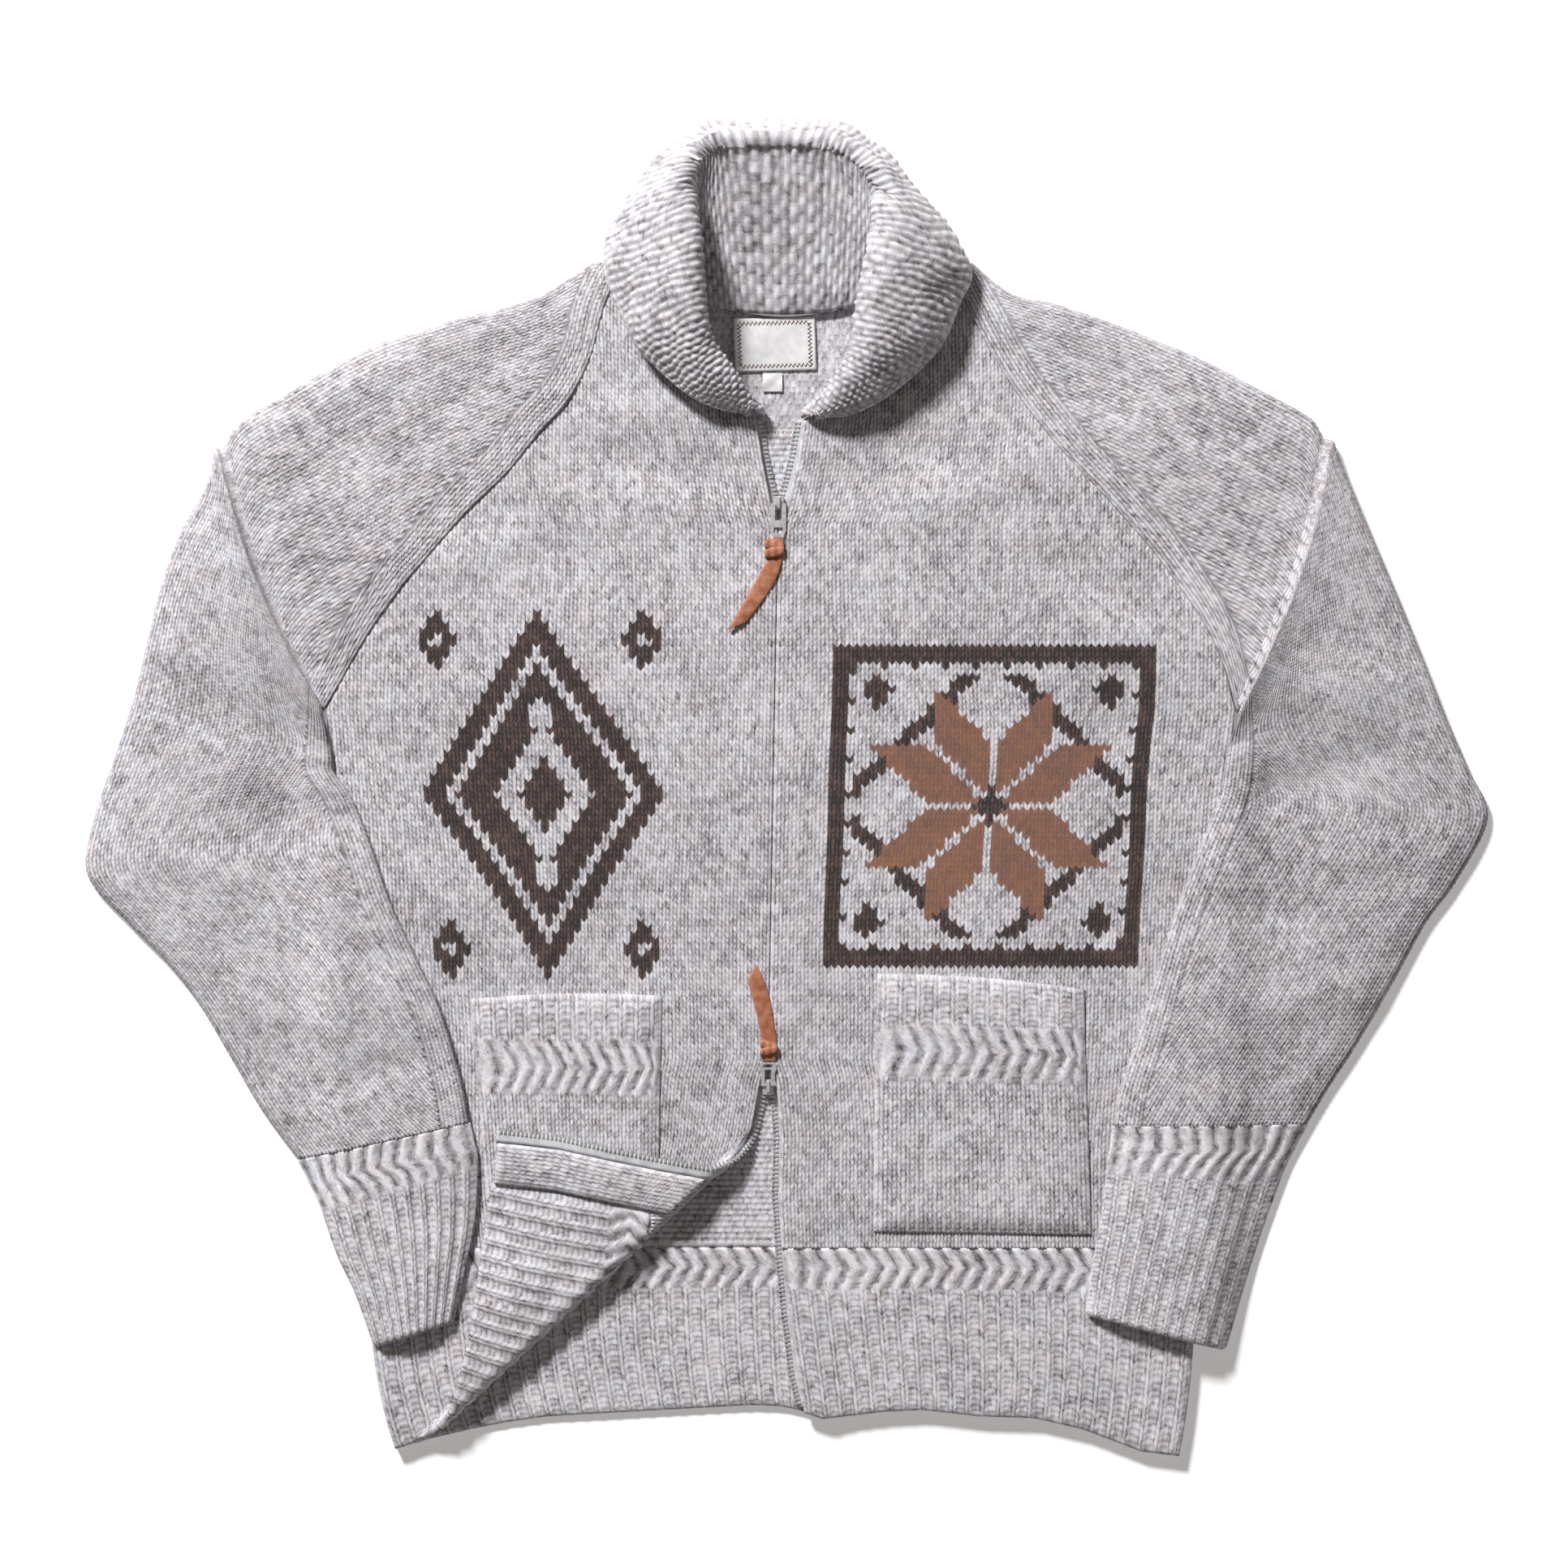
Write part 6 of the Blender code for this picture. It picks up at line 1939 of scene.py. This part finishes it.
@dataclass
class Zip:
    """Tapes, teeth and the knitted facing that the folded corner shows."""

    pitch: float = 0.0025
    tooth: tuple[float, float, float] = (0.0012, 0.0034, 0.0024)
    tape_width: float = 0.016
    tape_shown: float = 0.0065
    tape_length: float = 1220.0 * UNIT
    facing_width: float = 50.0
    facing_cut: tuple[float, float] = (0.024, 0.118)
    facing_shown: float = 0.024 * 0.105

    def tape(self, node: str, teeth: Table, edge: Table, setting: Callable[[Array, Array, Array], Array],
             inward: float, finishes: Finishes) -> bpy.types.Object:
        """Makes one tape.

        Args:
            node: CAD node that it stands for.
            teeth: Line of the teeth in the drawing.
            edge: Zip edge of the front.
            setting: Turns drawing points into world points.
            inward: Way from the teeth to the front.
            finishes: The finishes to dress it with.

        Returns:
            The piece as an object.
        """
        knit = Knitted()
        v = np.arange(517.0, 1736.5, 3.0)[:, None]
        toothed = line_at(teeth, v)
        hidden = line_at(edge, v) + inward * TAPE_UNDER
        hidden = np.where(inward * (hidden - toothed) < TAPE_UNDER, toothed + inward * TAPE_UNDER, hidden)
        share = np.linspace(0.0, 1.0, 5)[None, :]
        u = mix(toothed, hidden, share)
        v = np.broadcast_to(v, u.shape)
        fade = flap_fade(v) if setting is folded else 1.0
        low = ZIP_RAISE * fade - GAP - TAPE
        top = knit.add(setting(u, v, low + TAPE), u, v, 0.0)
        knit.grid(top)
        knit.back_grid(top, setting(u, v, low + 0.0 * u), u, v, 1)
        item = knit.build(node, finishes.tape)
        area = self.tape_shown * self.tape_length
        sheet_of(item, node, self.tape_width, self.tape_length, area, slot="zip_tape")
        return item

    def facing(self, finishes: Finishes) -> bpy.types.Object:
        """Makes the facing of the folded corner.

        Args:
            finishes: The finishes to dress it with.

        Returns:
            The piece as an object.
        """
        knit = Knitted()
        share = (np.arange(21) / 20.0)[None, :]
        rows = 60.0
        j = np.arange(rows + 1.0)[:, None]
        table = ((1520, 1476), (1535, 1505), (1560, 1545), (1620, 1610), (1680, 1675), (1732, 1732))
        low_v, high_v = (np.interp(j / rows * 5.0, np.arange(6), [row[c] for row in table]) for c in (0, 1))
        v = mix(low_v, high_v, share)
        u = line_at(RIGHT_ZIP_EDGE, v) - TAPE_UNDER - 1.5 - self.facing_width * (1.0 - share)
        s, t = share * 5.0, j / 2.0
        v = v - LEG_SLANT * chevron(s + WALE_NUDGE) * np.minimum(np.minimum(j, rows - j) / 3.0, 1.0)
        relief, hollow = plain_relief(s, t)
        inset = np.minimum(np.minimum(j, rows - j) * ROW, np.minimum(share, 1.0 - share) * self.facing_width)
        near = ease(-1.0, 6.0, inset)
        outer = -FACING_GAP - FACING_KNIT
        crown = 0.0012 * np.sin(math.pi * share)
        shown = folded(u, v, outer - 0.0009 * relief * near - crown + 0.0010 * (1.0 - near))
        ids = knit.add(shown, s, t, mix(0.5, hollow, near))
        knit.grid(ids)
        knit.back_grid(ids, folded(u, v, -FACING_GAP + 0.0 * u), s, t, 4)
        item = knit.build("facing_right", finishes.knit)
        sheet_of(item, "facing_right", *self.facing_cut, self.facing_shown, ["hem_right"])
        return item

    def teeth(self, name: str, points: Array, finishes: Finishes) -> None:
        """Makes the teeth along one open edge.

        Args:
            name: Name of the row.
            points: World points along the row.
            finishes: The finishes to dress it with.
        """
        tree = Tree(name, {"Pitch": self.pitch, "Length": self.tooth[0], "Width": self.tooth[1],
                           "Height": self.tooth[2]})
        line = tree.node("GeometryNodeResampleCurve", {0: tree.start.outputs[0], -1: tree.size("Pitch")},
                         mode="LENGTH")
        size = tree.node("ShaderNodeCombineXYZ", {0: tree.size("Length"), 1: tree.size("Width"),
                                                  2: tree.size("Height")})
        block = tree.node("GeometryNodeMeshCube", {"Size": size.outputs[0], "Vertices X": 3,
                                                   "Vertices Y": 3, "Vertices Z": 2})
        tangent = tree.node("GeometryNodeInputTangent", {})
        turn = tree.node("FunctionNodeAlignRotationToVector", {"Vector": tangent.outputs[0]}, axis="X",
                         pivot_axis="Z")
        teeth = tree.node("GeometryNodeInstanceOnPoints", {"Points": line.outputs[0],
                                                           "Instance": block.outputs[0],
                                                           "Rotation": turn.outputs[0]})
        item = tree.bake(guide_line(name + "_guide", points), name, teeth.outputs[0], finishes.metal)
        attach(item, "garment")

    def build(self, finishes: Finishes) -> None:
        """Makes the zip's cloth and teeth.

        Args:
            finishes: The finishes to dress it with.
        """
        self.tape("zip_tape_right", RIGHT_TEETH, RIGHT_ZIP_EDGE, folded, -1.0, finishes)
        self.tape("zip_tape_left", LEFT_TEETH, LEFT_ZIP_EDGE, flat_front, 1.0, finishes)
        self.facing(finishes)
        for side, teeth, setting in (("right", RIGHT_TEETH, folded), ("left", LEFT_TEETH, flat_front)):
            for part, low, high in (("top", 520.0, 610.0), ("open", 1352.0, 1732.0)):
                v = np.arange(low, high, 2.0)
                fade = flap_fade(v) if setting is folded else 1.0
                height = ZIP_RAISE * fade - GAP - TAPE / 2.0
                self.teeth(f"zip_teeth_{side}_{part}", setting(line_at(teeth, v), v, height + 0.0 * v),
                           finishes)


STRAP_SIDES = {
    "top": (((949.0, 663.4), (947.6, 684), (933, 712), (897, 776)),
            ((966.0, 663.4), (964.0, 690), (952, 722), (921, 766))),
    "bottom": (((938.6, 1307.4), (938.4, 1284), (930, 1240), (922, 1210), (932, 1188)),
               ((955.4, 1307.4), (957.0, 1284), (952, 1250), (944, 1214), (932.6, 1188.6))),
}
KNOTS = {"top": (942, 669, 966, 685), "bottom": (936.5, 1285, 958, 1298)}


@dataclass
class Hardware:
    """Sliders, metal pulls and the leather thongs tied to them."""

    thickness: float = 0.0018
    knot: float = 0.0036

    def lace(self, knit: Knitted, left: Array, right: Array, low: float, thick: float) -> None:
        """Adds a soft flat lace between two lines, with rounded edges.

        Args:
            knit: Mesh to add it to.
            left: One edge.
            right: Other edge.
            low: Height of the lower face.
            thick: Thickness, in metres.
        """
        middle, half = (left + right) / 2.0, (right - left) / 2.0
        turn = np.linspace(0.0, 2.0 * math.pi, 17)[:-1]
        wide = np.sign(np.cos(turn)) * np.abs(np.cos(turn)) ** 0.55
        tall = np.sign(np.sin(turn)) * np.abs(np.sin(turn)) ** 0.75
        spots = middle[:, None, :] + half[:, None, :] * wide[None, :, None]
        n = len(left)
        wave = 0.00025 * np.sin(np.arange(n) / n * 17.0)[:, None]
        z = low + thick / 2.0 + thick / 2.0 * tall[None, :] + wave * (tall > 0.0)
        ids = knit.add(place(spots[..., 0], spots[..., 1], z), turn[None, :], np.arange(n)[:, None], 0.0)
        knit.grid(np.concatenate([ids, ids[:, :1]], axis=1))
        for end in (0, -1):
            fan = [(ids[end][0], ids[end][i], ids[end][i + 1]) for i in range(1, 15)]
            knit.triangles.append(np.array(fan))

    def strap(self, which: str, finishes: Finishes) -> None:
        """Makes one leather thong with its knot.

        Args:
            which: Which thong.
            finishes: The finishes to dress it with.
        """
        knit = Knitted()
        sides = [catmull(np.array(side, float), np.linspace(0.0, len(side) - 1.0, 60))
                 for side in STRAP_SIDES[which]]
        self.lace(knit, *sides, STRAP_LOW, self.thickness)
        u0, v0, u1, v1 = KNOTS[which]
        for k, (tilt, share) in enumerate(((3.0, 0.24), (-2.5, 0.70))):
            v = mix(v0, v1, share)
            across = np.linspace(u0, u1, 24)
            bend = tilt * np.linspace(-1.0, 1.0, 24)
            wide = 0.36 * (v1 - v0) * np.sqrt(1.0 - np.linspace(-0.93, 0.93, 24) ** 2) + 1.2
            upper = np.stack([across, v + bend - wide], axis=1)
            lower = np.stack([across, v + bend + wide], axis=1)
            self.lace(knit, upper, lower, STRAP_LOW + 0.0002, self.knot + 0.0004 * k)
        name = "strap_" + which
        item = knit.build(name, finishes.leather)
        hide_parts(name)
        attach(item, "pull_" + which)
        LOG.info("%s: %d faces", name, len(item.data.polygons))

    def build(self, finishes: Finishes) -> None:
        """Dresses the metal parts and makes the thongs.

        Args:
            finishes: The finishes to dress it with.
        """
        for node in ("slider_top", "slider_bottom", "pull_top", "pull_bottom"):
            for slot in frame["nodes"][node].material_slots:
                slot.material = finishes.metal
        for which in STRAP_SIDES:
            self.strap(which, finishes)


@dataclass
class NeckLabel:
    """Woven neck label with a stitched border, and the small tab under it, both bare."""

    corners: Table = ((903, 392), (1004, 389), (905, 458), (1006, 455))
    tab: tuple[float, float, float, float] = (940, 459, 964, 482)
    lift: float = 0.0011
    border_share: tuple[float, float] = (0.86, 0.80)
    stitch: float = 2.5
    swing: float = 2.2
    thread: float = 0.00032
    on_label: float = 0.0008

    def wave(self, x: Array, y: Array) -> Array:
        """Height of the soft wave, at shares of the way across and down."""
        return self.lift * (0.5 + 0.5 * np.sin(x * 5.0 + y * 2.2)) * np.sin(math.pi * np.clip(y, 0, 1))

    def patch(self, name: str, corners: Array, thick: float, finish: bpy.types.Material) -> None:
        """Makes one small piece of cloth, a little waved.

        Args:
            name: Name of the piece.
            corners: Drawing points of its corners.
            thick: Thickness, in metres.
            finish: Its material.
        """
        knit = Knitted()
        x, y = np.meshgrid(np.linspace(0, 1, 41), np.linspace(0, 1, 25))
        spots = mix(mix(corners[0], corners[1], x[..., None]), mix(corners[2], corners[3], x[..., None]),
                    y[..., None])
        low = KNIT + GAP + PURL_RELIEF + self.wave(x, y)
        ids = knit.add(place(spots[..., 0], spots[..., 1], low + thick), x, y, 0.0)
        knit.grid(ids)
        knit.back_grid(ids, place(spots[..., 0], spots[..., 1], low), x, y, 2)
        item = knit.build(name, finish)
        width, length = (float(np.linalg.norm(corners[i] - corners[0])) * UNIT for i in (1, 2))
        sheet_of(item, name, width, length, width * length * 0.99, ["back"], "label_cloth")

    def border(self, finishes: Finishes) -> None:
        """Stitches the zigzag border of the label.

        Args:
            finishes: The finishes to dress it with.
        """
        c = np.array(self.corners, float)
        c = c.mean(axis=0) + (c - c.mean(axis=0)) * self.border_share
        ring = (c[0], c[1], c[3], c[2], c[0])
        points = []
        for a, b in zip(ring, ring[1:]):
            length = np.linalg.norm(b - a)
            count = int(length / self.stitch)
            way = (b - a) / length
            inward = np.array((-way[1], way[0]))
            for i in range(count):
                points.append(a + way * (i + 0.5) * length / count + inward * self.swing * (2 * (i % 2) - 1))
        spots = np.array(points)
        x, y = (spots[:, 0] - 903.0) / 102.0, (spots[:, 1] - 390.0) / 67.0
        z = KNIT + GAP + PURL_RELIEF + self.wave(x, y) + self.on_label
        tree = Tree("label_border", {"Thread": self.thread})
        profile = tree.node("GeometryNodeCurvePrimitiveCircle",
                            {"Resolution": 6, "Radius": tree.size("Thread")})
        thread = tree.node("GeometryNodeCurveToMesh", {"Curve": tree.start.outputs[0],
                                                       "Profile Curve": profile.outputs[0]})
        item = tree.bake(guide_line("border_guide", place(spots[:, 0], spots[:, 1], z)), "label_border",
                         thread.outputs[0], finishes.thread)
        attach(item, "garment")

    def build(self, finishes: Finishes) -> None:
        """Makes the label and the tab.

        Args:
            finishes: The finishes to dress it with.
        """
        self.patch("label", np.array(self.corners, float), 0.0007, finishes.label)
        u0, v0, u1, v1 = self.tab
        self.patch("size_tab", np.array(((u0, v0), (u1, v0), (u0, v1), (u1, v1)), float), 0.0005,
                   finishes.label)
        self.border(finishes)


# Hems' ends, as shares of the way down

def right_hem_ends(share: Array) -> tuple[Array, Array]:
    """Outer and zip side of the right hem."""
    return 450.5 + 10.0 * share + 26.0 * share ** 3, 905.0 + 17.0 * share


def left_hem_ends(share: Array) -> tuple[Array, Array]:
    """Zip and outer side of the left hem."""
    return 963.0 + 28.0 * share ** 1.2, 1476.0 - 8.0 * share - 15.0 * share ** 3


def back_hem_ends(share: Array) -> tuple[Array, Array]:
    """Right and left side of the back's hem."""
    return right_hem_ends(share)[0], left_hem_ends(share)[1]


def no_raise(u: Array, v: Array) -> Array:
    """Cloth with nothing under it."""
    return np.zeros(np.broadcast(u, v).shape)


RIGHT_POCKET = (
    (1231, 580, 816, 1227), (1283, 583, 815, 1284), (1314, 586, 814, 1316),
    (1344, 589, 813, 1347), (1352, 590, 813, 1355), (1480, 600, 811, 1480),
)
LEFT_POCKET = (
    (1200, 1081, 1336, 1219), (1262, 1079, 1337, 1270), (1294, 1078, 1338, 1302),
    (1326, 1078, 1339, 1332), (1334, 1078, 1339, 1340), (1518, 1076, 1345, 1522),
)


@dataclass
class Studio:
    """Pale floor, soft light and the overhead camera."""

    lens: float = 120.0
    sensor: float = 36.0
    frame_width: float = 0.92736
    centre: tuple[float, float] = (-0.00221, 0.00269)
    cloth_height: float = 0.010
    floor_size: float = 4.0
    floor_drop: float = 0.0004
    floor_glow: float = 0.22
    key_power: float = 392.0
    fill_power: float = 3.0
    room: tuple[float, float, float, float] = (1.0, 0.91, 0.82, 1.0)
    room_strength: float = 0.15

    def floor(self) -> None:
        """Lays the floor."""
        data = bpy.data.meshes.new("floor")
        r = self.floor_size
        data.from_pydata([(-r, -r, 0), (r, -r, 0), (r, r, 0), (-r, r, 0)], [], [(0, 1, 2, 3)])
        g = Graph("pale_floor")
        soft = g.noise(3.0, 2.0, g.spot())
        pale = g.blend(soft, (0.93, 0.93, 0.935, 1.0), (0.95, 0.95, 0.95, 1.0))
        g.coat(base_color=pale, roughness=0.9, emission_color=(1.0, 1.0, 1.0, 1.0),
               emission_strength=self.floor_glow)
        data.materials.append(g.material)
        item = bpy.data.objects.new("floor", data)
        item.location.z = -self.floor_drop
        bpy.context.scene.collection.objects.link(item)

    def light(self, name: str, spot: tuple[float, float, float], size: float, power: float,
              colour: tuple[float, float, float]) -> None:
        """Hangs one soft lamp, turned to the garment.

        Args:
            name: Name of the light.
            spot: Where it stands.
            size: Width of its face, in metres.
            power: Power, in watts.
            colour: Colour of the light.
        """
        data = bpy.data.lights.new(name, "AREA")
        data.shape = "DISK"
        data.size = size
        data.energy = power
        data.color = colour
        item = bpy.data.objects.new(name, data)
        item.location = spot
        item.rotation_euler = Vector(spot).to_track_quat("Z", "Y").to_euler()
        bpy.context.scene.collection.objects.link(item)

    def build(self) -> None:
        """Sets the stage."""
        self.floor()
        self.light("key_light", (-2.0, 3.5, 2.9), 0.9, self.key_power, (1.0, 0.995, 0.99))
        self.light("fill_light", (1.6, -0.6, 2.4), 2.0, self.fill_power, (0.93, 0.96, 1.0))
        world = bpy.data.worlds.new("pale_room")
        world.use_nodes = True
        background = world.node_tree.nodes["Background"]
        background.inputs[0].default_value = self.room
        background.inputs[1].default_value = self.room_strength
        bpy.context.scene.world = world
        bpy.context.scene.view_settings.view_transform = "Standard"
        data = bpy.data.cameras.new("overhead")
        data.lens = self.lens
        data.sensor_width = self.sensor
        item = bpy.data.objects.new("overhead", data)
        height = self.frame_width * self.lens / self.sensor + self.cloth_height
        item.location = (*self.centre, height)
        bpy.context.scene.collection.objects.link(item)
        bpy.context.scene.camera = item


def main() -> None:
    """Builds the garment piece by piece."""
    logging.basicConfig(level=logging.INFO)
    Studio().build()
    finishes = Finishes()
    BackPanel().build(finishes)
    FrontPanel("front_right", RIGHT_ROWS, RIGHT_ZIP_EDGE, RIGHT_SIDE, RIGHT_RAGLAN, RIGHT_CREASES, folded,
               right_raise, diamond_yarn, (0.268, 0.582)).build(finishes)
    FrontPanel("front_left", LEFT_ROWS, LEFT_ZIP_EDGE, LEFT_SIDE, LEFT_RAGLAN, LEFT_CREASES, flat_front,
               left_raise, star_yarn, (0.271, 0.582)).build(finishes)
    RibbedHem("hem_back", back_hem_ends, 48, flat_back, no_raise, (0.492, 0.103)).build(finishes)
    RibbedHem("hem_right", right_hem_ends, 22, folded, right_raise, (0.216, 0.100),
              on_flap=True).build(finishes)
    RibbedHem("hem_left", left_hem_ends, 24, flat_front, left_raise, (0.244, 0.103)).build(finishes)
    PatchPocket("pocket_right", RIGHT_POCKET, (0.113, 0.120)).build(finishes)
    PatchPocket("pocket_left", LEFT_POCKET, (0.126, 0.150)).build(finishes)
    Sleeve("sleeve_right", Side.RIGHT, RIGHT_RAGLAN, RIGHT_SHOULDER, RIGHT_TUBE, RIGHT_SIDE,
           SLEEVE_CREASES[Side.RIGHT]).build(finishes)
    Sleeve("sleeve_left", Side.LEFT, LEFT_RAGLAN, LEFT_SHOULDER, LEFT_TUBE, LEFT_SIDE,
           SLEEVE_CREASES[Side.LEFT]).build(finishes)
    Cuff("cuff_right", Side.RIGHT, RIGHT_CUFF, RIGHT_SIDE).build(finishes)
    Cuff("cuff_left", Side.LEFT, LEFT_CUFF, LEFT_SIDE).build(finishes)
    ShawlCollar().build(finishes)
    Zip().build(finishes)
    Hardware().build(finishes)
    NeckLabel().build(finishes)
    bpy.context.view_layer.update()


if __name__ == "__main__":
    main()
